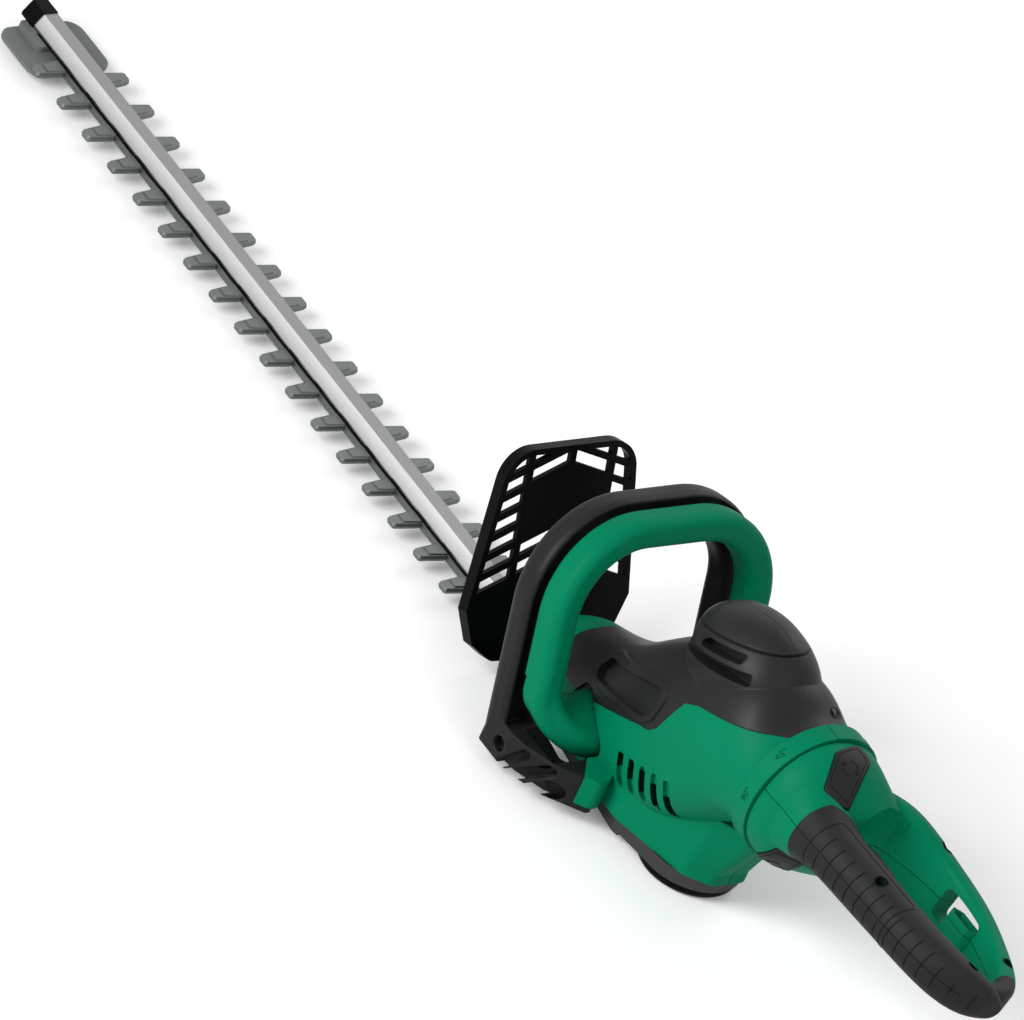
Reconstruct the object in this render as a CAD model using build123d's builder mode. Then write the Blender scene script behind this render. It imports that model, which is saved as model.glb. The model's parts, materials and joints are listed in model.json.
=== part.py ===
from build123d import *
from math import acos, atan2, copysign, cos, degrees, pi, radians, sin, tan
import os

# Electric hedge trimmer with a swivelling rear handle.
# +X points to the blade tip, +Y is the tool's left, +Z is up.
# The origin is on the bottom face, under the round bottom cover and on the tool's middle plane.

# Fits
SLIDE_FIT = 0.3
SEAT_FIT = 0.05
RUN_FIT = 0.06

# Blades
TOOTH_PITCH = 32.0
TEETH_LEFT = 17
TEETH_RIGHT = 17
TOOTH_TIP_Y = 33.5
TOOTH_ROOT_WIDTH = 14.5
TOOTH_TIP_WIDTH = 9.0
SPINE_HALF = 12.0
BLADE_THICK = 2.2
BLADE_GAP = 0.1
BLADE_MID_Z = 13.0
FIRST_TOOTH_X = 759.5
STROKE = 12.0
TOOTH_TAPER = 20.0
BLADE_END_X = 770.0
YOKE_WALL = 5.0

# Rail and tip
RAIL_START_X = 88.0
RAIL_END_X = 803.0
RAIL_BASE_HALF = 9.8
RAIL_TOP_HALF = 5.2
RAIL_HEIGHT = 11.0
RAIL_LIP = 2.4
RAIL_SEAT_GAP = 0.15
CAP_LENGTH = 9.0
CAP_WALL = 0.8
CAP_OVERLAP = 5.0
TIP_PLATE_HALF = 33.0
TIP_PLATE_START_X = 757.0
TIP_PLATE_END_X = 806.0
TIP_PLATE_THICK = 2.4
TIP_CORNER = 11.0
TIP_SPACER_HALF = 17.0
TIP_SPACER_X = 779.0
TIP_BOLT_X = 788.0

# Blade bolts
BOLT_FIRST_X = 123.5
BOLT_COUNT = 6
BOLT_SPACING = 106.5
BOLT_R = 2.5
BOLT_GRIP = 7.0
BUSH_R = 4.0
BOLT_HEAD_R = 4.6
BOLT_HEAD_H = 3.6
WASHER_R = 6.0
WASHER_H = 1.0
WASHER_GAP = 0.2

# Housing
SWIVEL_X = -85.0
SWIVEL_Z = 120.0
COLLAR_R = 50.5
COLLAR_LENGTH = 14.0
SOCKET_R = 36.0
SOCKET_DEPTH = 16.0
SKIRT_BAND_Z = 26.0
SKIRT_TOP_Z = 70.0
SKIRT_ROUND = 10.0
SHELL_BOTTOM_Z = 18.0
NOSE_HALF = 30.0
NOSE_X = 172.0
PANEL_DEPTH = 3.0
PANEL_RIM_WIDTH = 4.5
PANEL_RIM_PROUD = 1.2
CREASE_Z = 178.5
CREASE_FALL = 0.34
CREASE_WIDTH = 1.4
CREASE_DEPTH = 1.0
SLOT_FLOOR_Y = 25.0
VENT_COUNT = 5
VENT_SPACING = 11.6
VENT_LENGTH = 25.0
VENT_WIDTH = 6.2
VENT_X = 29.5
VENT_Z = 49.5
VENT_RISE = 4.1
VENT_LEAN = 18.0
VENT_FLOOR_Y = 36.0
DUCT_Z = 57.5
DUCT_HIGH = 15.0
HALF_SCREWS = [(60, 84), (-58, 88), (112, 36), (46, 132), (-52, 160)]
HALF_SCREW_LONG = 34.0
SCREW_SINK_Y = -20.0

# Motor and crank
MOTOR_X = -14.0
STATOR_R = 29.0
STATOR_BOTTOM_Z = 80.0
STATOR_HEIGHT = 46.0
WINDING_HEIGHT = 13.0
ARMATURE_R = 17.0
AIR_GAP = 0.6
SHAFT_R = 4.0
BEARING_R = 11.0
BEARING_H = 7.0
FAN_R = 27.0
FAN_H = 10.0
FAN_BLADES = 12
BRUSH_LONG = 7.0
COMMUTATOR_R = 12.0
COMMUTATOR_H = 14.0
GEAR_MODULE = 1.2
PINION_TEETH = 12
GEAR_TEETH = 44
GEAR_ADDENDUM = 0.7
GEAR_DEDENDUM = 1.15
GEAR_BACKLASH = 0.16
GEAR_THICK = 8.0
GEAR_BOTTOM_Z = 20.5
CRANK_THROW = STROKE / 2
CAM_R = 11.0
CRANK_SHAFT_R = 4.5
CAM_SPACE = 0.15

# Gear case and bottom cover
COVER_R = 35.0
COVER_HEIGHT = 8.0
COVER_FRONT_X = 14.0
CASE_R = 36.5
CASE_HALF = 42.0
CASE_FLOOR = 2.4
CASE_BOTTOM_Z = 6.0
SCREW_R = 2.0
SCREW_HEAD_R = 3.8
SCREW_HEAD_H = 2.6
COVER_SCREWS = [(-12, 27.2), (-12, -27.2), (-34, 14), (-34, -14)]
COVER_SCREW_SINK = 4.0
COVER_SCREW_GRIP = 7.0

# Hand guard
GUARD_X = 172.0
GUARD_LEAN = 19.4
GUARD_THICK = 3.6
GUARD_RIM = 9.0
GUARD_RIM_WALL = 3.2
GUARD_TOP_HALF = 52.0
GUARD_LOW_HALF = 67.5
GUARD_FOOT_HALF = 40.0
GUARD_BOTTOM = 13.0
GUARD_HEIGHT = 160.0
GUARD_ROUND = 24.0
GUARD_CLEARANCE = 2.0
SLAT_FIRST = 60.0
SLAT_COUNT = 7
SLAT_PITCH = 12.9
SLAT_GAP = 8.0
SLAT_SLOPE = 20.0
MIDDLE_SLATS = (0, 1, 5, 6)
GUARD_POST_Y = 34.0
GUARD_POST_WIDTH = 5.0
GUARD_SCREWS = [(22, 25), (-22, 25), (18, 39), (-18, 39)]
GUARD_SCREW_LONG = 16.0

# Front bail and switch bow
BAIL_TOP_X = 135.0
BAIL_TOP_Z = 183.0
BAIL_LEAN = 16.0
BAIL_HALF = 94.0
BAIL_CORNER = 70.0
BAIL_THICK = 28.0
BAIL_DEPTH = 25.0
BAIL_ROUND = 9.0
CHANNEL_WALL = 2.6
CHANNEL_DEPTH = 9.0
BOW_DEPTH = 23.0
BOW_TONGUE = 1.5
BOW_CLEARANCE = 0.8
BOW_ROUND = 8.0
BOW_PIVOT_X = 78.0
BOW_PIVOT_Z = 46.0
BOW_PIN_R = 5.0
BOW_END_TILT = 29.0
BOW_END_Y = 36.0
BOW_END_LONG = 44.0
BOW_END_THICK = 22.0
BOW_END_CLEARANCE = 3.0
FOOT_BOTTOM_Z = 12.0
FOOT_TOP_Z = 37.0
LEG_LENGTH = 101.0
FOOT_SCREWS = [(97, 84), (64, 74)]
FOOT_SCREW_SINK = 8.0
FOOT_EYES = [(92, 23, 5.5), (49, 18.5, 6.5)]
FOOT_SLOTS = [((84, 14), (71, 31), 7.0), ((76, 11), (54, 31), 8.0), ((62, 9), (56, 15), 8.0)]
BOW_LEG_LENGTH = 44.0
BOW_PIN_LONG = 8.0

# Rear handle, turned on the swivel from upright towards the tool's left
HANDLE_TURN = 72.0
SPIGOT_CLEARANCE = 0.3
HANDLE_GAP = 0.8
CONE_R = 47.5
SPIGOT_LONG = 12.0
GRIP_SKIN = 2.6
BUTTON_ANGLE = 68.0
BUTTON_TRAVEL = 3.0
BUTTON_X = -22.0
BUTTON_FOOT_R = 28.0
BUTTON_PROUD = 1.2
TRIGGER_HALF = 8.0
TRIGGER_PIVOT = (-50.0, 7.0)
TRIGGER_PIN_R = 2.0
TRIGGER_PIN_HALF = 11.0
TRIGGER_SWING = 8.0
HANDLE_SCREWS = [(-104.0, 28.0), (-181.0, -1.0), (-63.0, -64.0), (-165.0, -53.0)]
HANDLE_SCREW_FACE = 6.0
HANDLE_SCREW_LONG = 14.0
WINDOW_X = -106.0
WINDOW_RHO = -65.0
WINDOW_LONG = 42.0
WINDOW_WIDE = 22.0
BAND_ROUND = 6.0
INLET_X = -113.0
INLET_RHO = -60.0
INLET_LONG = 28.0
INLET_WIDE = 13.0
INLET_WALL = 2.2
INLET_LOW = -16.0
INLET_HIGH = 5.0
INLET_FLOOR = 4.0

# Worked out from the values above
LOWER_Z = BLADE_MID_Z - BLADE_GAP / 2 - BLADE_THICK
UPPER_Z = BLADE_MID_Z + BLADE_GAP / 2
RAIL_Z = UPPER_Z + BLADE_THICK + RAIL_SEAT_GAP
RAIL_TOP_Z = RAIL_Z + RAIL_HEIGHT
CRANK_X = MOTOR_X + GEAR_MODULE * (PINION_TEETH + GEAR_TEETH) / 2
TIP_PLATE_Z = LOWER_Z - SLIDE_FIT - TIP_PLATE_THICK
BOLT_XS = [BOLT_FIRST_X + BOLT_SPACING * i for i in range(BOLT_COUNT)]

os.makedirs("parts", exist_ok=True)


def save(builder, name):
    """Label a finished piece and write it."""
    builder.part.label = name
    export_step(builder.part, "parts/" + name + ".step")


def oval_points(half_w, up, down, power_up, power_down, count=20):
    """Points of a closed oval that can be squarer below than above."""
    points = []
    for i in range(count):
        c = cos(2 * pi * i / count)
        s = sin(2 * pi * i / count)
        high = up if s >= 0 else down
        power = power_up if s >= 0 else power_down
        points.append((half_w * copysign(abs(c) ** (2 / power), c), high * copysign(abs(s) ** (2 / power), s)))
    return points


def cross_plane(x, z):
    """Plane square to the blade, with its own x to the tool's left."""
    return Plane(origin=(x, 0, z), x_dir=(0, 1, 0), z_dir=(1, 0, 0))


# Stations of the housing: x, middle height, half width, height up, depth down, squareness up and down
STATIONS = [
    (SWIVEL_X + COLLAR_LENGTH - 4, SWIVEL_Z, 49.5, 49.5, 49.5, 2.0, 2.0),
    (-45.0, 116.0, 51.0, 55.0, 52.0, 2.0, 2.4),
    (-5.0, 100.0, 52.0, 70.0, 66.0, 2.1, 3.4),
    (30.0, 84.0, 50.0, 70.0, 60.0, 2.2, 4.0),
    (64.0, 66.0, 45.5, 62.0, 47.0, 2.3, 4.5),
    (100.0, 48.0, 38.0, 43.0, 31.0, 2.4, 4.5),
    (136.0, 42.0, 31.5, 30.0, 25.0, 2.6, 4.5),
    (150.0, 40.0, NOSE_HALF, 26.0, 23.0, 2.8, 4.5),
    (176.0, 34.0, NOSE_HALF - 1, 13.0, 17.0, 2.8, 4.5),
    (196.0, 33.0, NOSE_HALF - 2, 9.0, 16.0, 2.8, 4.5),
]

# Levels of the motor dome: height, middle x, half length, half width
DOME_LEVELS = [
    (140.0, 1.0, 53.0, 41.0),
    (158.0, 4.0, 50.0, 36.5),
    (172.0, 5.0, 44.0, 31.0),
    (180.0, 3.5, 34.5, 24.5),
    (186.0, 0.0, 22.5, 17.0),
    (189.6, -3.0, 12.0, 9.5),
    (191.0, -4.0, 4.0, 3.5),
]


def barrel(inset):
    """Main form of the housing, drawn in by inset all round."""
    with BuildPart() as form:
        for x, z, half_w, up, down, power_up, power_down in STATIONS:
            with BuildSketch(cross_plane(x, z)):
                with BuildLine():
                    Spline(*oval_points(half_w - inset, up - inset, down - inset, power_up, power_down), periodic=True)
                make_face()
        loft()
    return form.part


def dome(inset):
    """Motor dome on top of the housing, drawn in by inset."""
    with BuildPart() as form:
        for z, x, half_l, half_w in DOME_LEVELS:
            with BuildSketch(Plane.XY.offset(z - inset)):
                with BuildLine():
                    points = oval_points(max(half_l - inset, 1.5), max(half_w - inset, 1.5),
                                         max(half_w - inset, 1.5), 2.3, 2.3)
                    Spline(*[(px + x, py) for px, py in points], periodic=True)
                make_face()
        loft()
    return form.part


# Plan corners of the skirt under the housing: at its foot, and where it runs into the barrel
SKIRT_FOOT = [(-54, 13), (-40, 28.5), (18, 45.5), (36, 45.5), (120, NOSE_HALF)]
SKIRT_HEAD = [(-74, 10), (-46, 26), (4, 44), (36, 44), (120, NOSE_HALF - 3)]


def skirt_form():
    """Skirt that stands upright at its foot and then leans into the barrel."""
    with BuildPart() as form:
        for corners, z in ((SKIRT_FOOT, SHELL_BOTTOM_Z), (SKIRT_FOOT, SKIRT_BAND_Z), (SKIRT_HEAD, SKIRT_TOP_Z)):
            with BuildSketch(Plane.XY.offset(z)):
                with BuildLine():
                    FilletPolyline(*corners, *[(x, -y) for x, y in reversed(corners)], radius=SKIRT_ROUND, close=True)
                make_face()
        loft(ruled=True)
    return form.part


guard_normal = (cos(radians(GUARD_LEAN)), 0, -sin(radians(GUARD_LEAN)))
guard_plane = Plane(origin=(GUARD_X, 0, 0), x_dir=(0, 1, 0), z_dir=guard_normal)

# Frame of the front bail: it leans forward from the housing
lean = radians(BAIL_LEAN)
UPWARD = Vector(sin(lean), 0, cos(lean))
LEFTWARD = Vector(0, 1, 0)
BAIL_TOP = Vector(BAIL_TOP_X, 0, BAIL_TOP_Z)
CORNER_HALF = BAIL_HALF - BAIL_CORNER
MID_HALF = BAIL_HALF - BAIL_THICK / 2
bail_top_plane = Plane(origin=BAIL_TOP, x_dir=UPWARD, z_dir=LEFTWARD)
bail_corner = BAIL_TOP + LEFTWARD * CORNER_HALF - UPWARD * BAIL_CORNER
bail_leg_plane = Plane(origin=bail_corner + LEFTWARD * BAIL_CORNER, x_dir=LEFTWARD, z_dir=UPWARD * -1)
bail_axis = Axis(bail_corner, UPWARD.cross(LEFTWARD))


def half_loop(width_out, width_in, rear, front, radius, leg):
    """Left half of the bail loop: its section runs along the top, round the corner and down."""
    with BuildPart() as form:
        for plane, length in ((bail_top_plane, CORNER_HALF), (bail_leg_plane, leg)):
            with BuildSketch(plane):
                with Locations((-(width_out + width_in) / 2, (rear + front) / 2)):
                    RectangleRounded(width_in - width_out, front - rear, radius)
            extrude(amount=length)
        with BuildSketch(bail_top_plane.offset(CORNER_HALF)):
            with Locations((-(width_out + width_in) / 2, (rear + front) / 2)):
                RectangleRounded(width_in - width_out, front - rear, radius)
        revolve(axis=bail_axis, revolution_arc=90)
    return form.part


# Plan of the bail's foot, from the leg in to the housing
FOOT_PLAN = [(86, 94), (75, 92), (53, 81), (30, 57), (42, 40), (56, 46), (70, 60), (88, 66), (112, 66), (112, 94)]


def foot_solid(grow, low, high):
    """Foot of the bail between two heights, grown sideways by grow."""
    with BuildPart() as form:
        with BuildSketch(Plane.XY.offset(low)):
            with BuildLine():
                FilletPolyline(*FOOT_PLAN, radius=4, close=True)
            make_face()
            if grow:
                offset(amount=grow)
        extrude(amount=high - low)
    return form.part


# Frame of the switch bow's ends, which turn in the housing sides
end_tilt = radians(BOW_END_TILT)
END_ALONG = Vector(cos(end_tilt), 0, sin(end_tilt))
bow_end_plane = Plane(origin=(BOW_PIVOT_X, BOW_END_Y, BOW_PIVOT_Z), x_dir=END_ALONG, z_dir=(0, 1, 0))

# Whole outer form of the housing
with BuildPart() as body_form:
    add(barrel(0))
    with BuildSketch(cross_plane(SWIVEL_X, SWIVEL_Z)):
        Circle(COLLAR_R)
    collar = extrude(amount=COLLAR_LENGTH)
    add(dome(0))
    with BuildPart(mode=Mode.PRIVATE) as foot_boss:
        add(foot_solid(3, SHELL_BOTTOM_Z, FOOT_TOP_Z + 3))
        split(bisect_by=Plane(origin=(48, 58, 0), z_dir=(0.62, 0.78, 0)), keep=Keep.BOTTOM)
        mirror(about=Plane.XZ)
    add(foot_boss.part)
    add(skirt_form())
    split(bisect_by=Plane.XY.offset(SHELL_BOTTOM_Z), keep=Keep.TOP)
    split(bisect_by=guard_plane, keep=Keep.BOTTOM)

# Region of the black motor covers in side view
COVER_EDGE = [(SWIVEL_X + COLLAR_LENGTH, 160), (-53, 152), (-6, 135), (5, 128), (14, 99), (20, 92), (28, 89),
              (98, 54), (122, 50), (137, 57), (138, 90), (138, 230), (SWIVEL_X + COLLAR_LENGTH, 230)]
with BuildPart() as cover_region:
    with BuildSketch(Plane.XZ) as cover_side:
        with BuildLine():
            FilletPolyline(*COVER_EDGE, radius=5, close=True)
        make_face()
    extrude(amount=90, both=True)

# Sunken panel in each cover side
PANEL_EDGE = [(97, 72), (93, 88), (24, 122), (25, 101), (32, 94)]


def panel_outline(grow):
    """Side view of the sunken panel, grown all round by grow."""
    with BuildSketch() as outline:
        with BuildLine():
            FilletPolyline(*PANEL_EDGE, radius=5, close=True)
        make_face()
        if grow:
            offset(amount=grow)
    return outline.sketch


sunk_barrel = barrel(PANEL_DEPTH)
with BuildPart() as panel_tool:
    with BuildSketch(Plane.XZ):
        add(panel_outline(0))
    extrude(amount=90, both=True)
    add(sunk_barrel, mode=Mode.SUBTRACT)
    Box(400, 40, 400, mode=Mode.SUBTRACT)

# Raised rim round the sunken panel
with BuildPart() as panel_rim:
    with BuildSketch(Plane.XZ):
        add(panel_outline(PANEL_RIM_WIDTH))
        add(panel_outline(0), mode=Mode.SUBTRACT)
    extrude(amount=90, both=True)
    add(barrel(-PANEL_RIM_PROUD), mode=Mode.INTERSECT)
    add(sunk_barrel, mode=Mode.SUBTRACT)
    Box(400, 40, 400, mode=Mode.SUBTRACT)

# Crease round the cap of the dome, and the two air slots below it on each side
DOME_SLOTS = [[(30, 157), (23, 167), (-9, 177.5), (-9, 171)], [(46, 142), (40, 151), (-20, 171), (-24, 164)]]
with BuildPart() as dome_crease:
    with BuildSketch(Plane(origin=(0, 0, CREASE_Z), x_dir=(1, 0, -CREASE_FALL), z_dir=(CREASE_FALL, 0, 1))):
        Rectangle(150, 150)
    extrude(amount=CREASE_WIDTH / 2, both=True)
    add(dome(CREASE_DEPTH), mode=Mode.SUBTRACT)

with BuildPart() as dome_slots:
    for corners in DOME_SLOTS:
        with BuildSketch(Plane.XZ):
            with BuildLine():
                FilletPolyline(*corners, radius=2, close=True)
            make_face()
        extrude(amount=70, both=True)
    Box(400, 2 * SLOT_FLOOR_Y, 400, mode=Mode.SUBTRACT)

# Hollows for the motor, fan, gear, shafts, rail and swivel
WINDING_BOTTOM_Z = STATOR_BOTTOM_Z - WINDING_HEIGHT
STATOR_TOP_Z = STATOR_BOTTOM_Z + STATOR_HEIGHT
WINDING_TOP_Z = STATOR_TOP_Z + WINDING_HEIGHT
COMMUTATOR_Z = WINDING_TOP_Z + 3
UPPER_BEARING_Z = COMMUTATOR_Z + COMMUTATOR_H + 5
FAN_Z = WINDING_BOTTOM_Z - 3 - FAN_H
LOWER_BEARING_Z = FAN_Z - 3 - BEARING_H - 4
GEAR_TOP_Z = GEAR_BOTTOM_Z + GEAR_THICK
GEAR_BAY_TOP_Z = GEAR_TOP_Z + 2.5
CRANK_TOP_Z = GEAR_BAY_TOP_Z + 11
GEAR_R = GEAR_MODULE * GEAR_TEETH / 2
PINION_R = GEAR_MODULE * PINION_TEETH / 2
BRUSH_BAY_R = COMMUTATOR_R + 9
LOW = (Align.CENTER, Align.CENTER, Align.MIN)

with BuildPart() as inner_bays:
    with Locations((MOTOR_X, 0, WINDING_BOTTOM_Z - 1)):
        Cylinder(STATOR_R + SEAT_FIT, STATOR_HEIGHT + 2 * WINDING_HEIGHT + 2, align=LOW)
    with Locations((MOTOR_X, 0, STATOR_TOP_Z)):
        Cylinder(BRUSH_BAY_R, UPPER_BEARING_Z - STATOR_TOP_Z, align=LOW)
    with Locations((MOTOR_X, 0, UPPER_BEARING_Z)):
        Cylinder(BEARING_R + SEAT_FIT, BEARING_H + SEAT_FIT, align=LOW)
    with Locations((MOTOR_X, 0, FAN_Z - 3)):
        Cylinder(FAN_R + 2, WINDING_BOTTOM_Z - FAN_Z + 3, align=LOW)
    with Locations((MOTOR_X, 0, LOWER_BEARING_Z - SEAT_FIT)):
        Cylinder(BEARING_R + SEAT_FIT, BEARING_H + 2 * SEAT_FIT, align=LOW)
    with Locations((MOTOR_X, 0, SHELL_BOTTOM_Z)):
        Cylinder(SHAFT_R + 2, WINDING_BOTTOM_Z - SHELL_BOTTOM_Z, align=LOW)
    with Locations((MOTOR_X, 0, SHELL_BOTTOM_Z)):
        Cylinder(PINION_R + 3, GEAR_BAY_TOP_Z - SHELL_BOTTOM_Z, align=LOW)
    with Locations((CRANK_X, 0, SHELL_BOTTOM_Z)):
        Cylinder(GEAR_R + 2.2, GEAR_BAY_TOP_Z - SHELL_BOTTOM_Z, align=LOW)
    with Locations((CRANK_X, 0, SHELL_BOTTOM_Z)):
        Cylinder(CRANK_SHAFT_R + RUN_FIT, CRANK_TOP_Z + SLIDE_FIT - SHELL_BOTTOM_Z, align=LOW)
    with BuildSketch(Plane.XY.offset(SHELL_BOTTOM_Z)):
        with Locations((RAIL_START_X - SLIDE_FIT, 0)):
            Rectangle(NOSE_X, 2 * (RAIL_BASE_HALF + SLIDE_FIT), align=(Align.MIN, Align.CENTER))
    extrude(amount=RAIL_TOP_Z + SLIDE_FIT - SHELL_BOTTOM_Z)
    with BuildSketch(cross_plane(SWIVEL_X, SWIVEL_Z)):
        Circle(SOCKET_R)
    extrude(amount=SOCKET_DEPTH)


# Sockets in the housing for the bail's feet and the bow's ends
with BuildPart() as side_sockets:
    add(foot_solid(SEAT_FIT, FOOT_BOTTOM_Z, FOOT_TOP_Z + SEAT_FIT))
    with BuildSketch(bow_end_plane.offset(-1)):
        RectangleRounded(BOW_END_LONG + 2 * BOW_END_CLEARANCE, BOW_END_THICK + 2 * BOW_END_CLEARANCE, 9)
    extrude(amount=30)
    with BuildSketch(bow_end_plane.offset(-BOW_PIN_LONG - 1)):
        Circle(BOW_PIN_R + RUN_FIT)
    extrude(amount=BOW_PIN_LONG + 2)
    mirror(about=Plane.XZ)

# Air vents: shallow slots in the sides, deep along the level duct behind them
with BuildPart() as vents:
    for i in range(VENT_COUNT):
        vent_plane = Plane(origin=(VENT_X - VENT_SPACING * i, VENT_FLOOR_Y, VENT_Z + VENT_RISE * i),
                           x_dir=(sin(radians(VENT_LEAN)), 0, cos(radians(VENT_LEAN))), z_dir=(0, 1, 0))
        with BuildSketch(vent_plane):
            SlotOverall(VENT_LENGTH, VENT_WIDTH)
        extrude(amount=30)
    with BuildPart(mode=Mode.PRIVATE) as vent_floor:
        add(sunk_barrel)
        with Locations((0, 0, DUCT_Z)):
            Box(400, 200, DUCT_HIGH, mode=Mode.SUBTRACT)
    add(vent_floor.part, mode=Mode.SUBTRACT)
    mirror(about=Plane.XZ)

# Screws that hold the two halves, put in from the right
with BuildPart() as half_screws:
    with Locations([Location((x, SCREW_SINK_Y, z), (90, 0, 0)) for x, z in HALF_SCREWS]):
        Cylinder(SCREW_R, HALF_SCREW_LONG, align=(Align.CENTER, Align.CENTER, Align.MAX))
        Cylinder(SCREW_HEAD_R, SCREW_HEAD_H, align=LOW)
save(half_screws, "housing_screws")

with BuildPart() as half_screw_holes:
    with Locations([Location((x, SCREW_SINK_Y, z), (90, 0, 0)) for x, z in HALF_SCREWS]):
        Cylinder(SCREW_R + SEAT_FIT, HALF_SCREW_LONG + 1, align=(Align.CENTER, Align.CENTER, Align.MAX))
        Cylinder(SCREW_HEAD_R + SLIDE_FIT, 60, align=LOW)

with BuildPart() as guard_screws:
    with Locations([guard_plane.location * Location((y, h, GUARD_THICK)) for y, h in GUARD_SCREWS]):
        Cylinder(SCREW_R, GUARD_SCREW_LONG, align=(Align.CENTER, Align.CENTER, Align.MAX))
        Cylinder(SCREW_HEAD_R, SCREW_HEAD_H, align=LOW)
save(guard_screws, "guard_screws")

with BuildPart() as guard_screw_holes:
    with Locations([guard_plane.location * Location((y, h, GUARD_THICK)) for y, h in GUARD_SCREWS]):
        Cylinder(SCREW_R + SEAT_FIT, GUARD_SCREW_LONG + 1, align=(Align.CENTER, Align.CENTER, Align.MAX))

# Body with all its hollows, before it is parted
with BuildPart() as hollow_body:
    add(body_form.part)
    add(inner_bays.part, mode=Mode.SUBTRACT)
    add(side_sockets.part, mode=Mode.SUBTRACT)
    add(vents.part, mode=Mode.SUBTRACT)
    add(half_screw_holes.part, mode=Mode.SUBTRACT)
    add(guard_screw_holes.part, mode=Mode.SUBTRACT)

# Green shell and black covers, parted on the middle plane
with BuildPart() as shell_form:
    add(hollow_body.part)
    add(cover_region.part, mode=Mode.SUBTRACT)

with BuildPart() as cover_form:
    add(hollow_body.part)
    add(panel_rim.part)
    add(cover_region.part, mode=Mode.INTERSECT)
    add(panel_tool.part, mode=Mode.SUBTRACT)
    add(dome_crease.part, mode=Mode.SUBTRACT)
    add(dome_slots.part, mode=Mode.SUBTRACT)

for side, keep in (("left", Keep.BOTTOM), ("right", Keep.TOP)):
    with BuildPart() as housing_half:
        add(shell_form.part)
        split(bisect_by=Plane.XZ, keep=keep)
    save(housing_half, "housing_" + side)
    with BuildPart() as motor_cover:
        add(cover_form.part)
        split(bisect_by=Plane.XZ, keep=keep)
    save(motor_cover, "motor_cover_" + side)

# Eyes and slots in the outer side of the bail's foot, with a floor that follows it
FOOT_FLOOR = [(130, 88), (87.5, 88), (77.5, 86.3), (56.5, 75.9), (35, 53.5), (35, 30), (130, 30)]
with BuildPart() as foot_pockets:
    with BuildSketch(Plane(origin=(0, BAIL_HALF + 4, 0), x_dir=(1, 0, 0), z_dir=(0, -1, 0))):
        for x, z, radius in FOOT_EYES:
            with Locations((x, z)):
                Circle(radius)
        for (x0, z0), (x1, z1), width in FOOT_SLOTS:
            with Locations(((x0 + x1) / 2, (z0 + z1) / 2)):
                SlotCenterToCenter(Vector(x1 - x0, z1 - z0).length, width, degrees(atan2(z1 - z0, x1 - x0)))
    extrude(amount=50)
    with BuildSketch():
        with BuildLine():
            Polyline(*FOOT_FLOOR, close=True)
        make_face()
    extrude(amount=FOOT_TOP_Z + 10, mode=Mode.SUBTRACT)

# Front bail with a channel along its rear face
with BuildPart() as bail_handle:
    add(half_loop(0, BAIL_THICK, 0, BAIL_DEPTH, BAIL_ROUND, LEG_LENGTH + 60))
    split(bisect_by=Plane.XY.offset(FOOT_BOTTOM_Z), keep=Keep.TOP)
    add(foot_solid(0, FOOT_BOTTOM_Z, FOOT_TOP_Z))
    add(half_loop(CHANNEL_WALL, BAIL_THICK - CHANNEL_WALL, -CHANNEL_DEPTH, CHANNEL_DEPTH, 2, LEG_LENGTH - 18),
        mode=Mode.SUBTRACT)
    with BuildSketch(bow_end_plane):
        RectangleRounded(BOW_END_LONG + 2 * BOW_END_CLEARANCE, BOW_END_THICK + 2 * BOW_END_CLEARANCE, 9)
    extrude(amount=MID_HALF - BOW_END_Y, mode=Mode.SUBTRACT)
    add(foot_pockets.part, mode=Mode.SUBTRACT)
    with Locations([(x, y, FOOT_BOTTOM_Z) for x, y in FOOT_SCREWS]):
        Cylinder(SCREW_HEAD_R + SLIDE_FIT, FOOT_SCREW_SINK, align=LOW, mode=Mode.SUBTRACT)
        Cylinder(SCREW_R + SEAT_FIT, FOOT_SCREW_SINK + 14, align=LOW, mode=Mode.SUBTRACT)
    mirror(about=Plane.XZ)
save(bail_handle, "bail_handle")

with BuildPart() as bail_screws:
    with Locations([(x, y, FOOT_BOTTOM_Z + FOOT_SCREW_SINK) for x, y in FOOT_SCREWS]):
        Cylinder(SCREW_R, 13, align=LOW)
        Cylinder(SCREW_HEAD_R, SCREW_HEAD_H, align=(Align.CENTER, Align.CENTER, Align.MAX))
    mirror(about=Plane.XZ)
save(bail_screws, "bail_screws")

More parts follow.
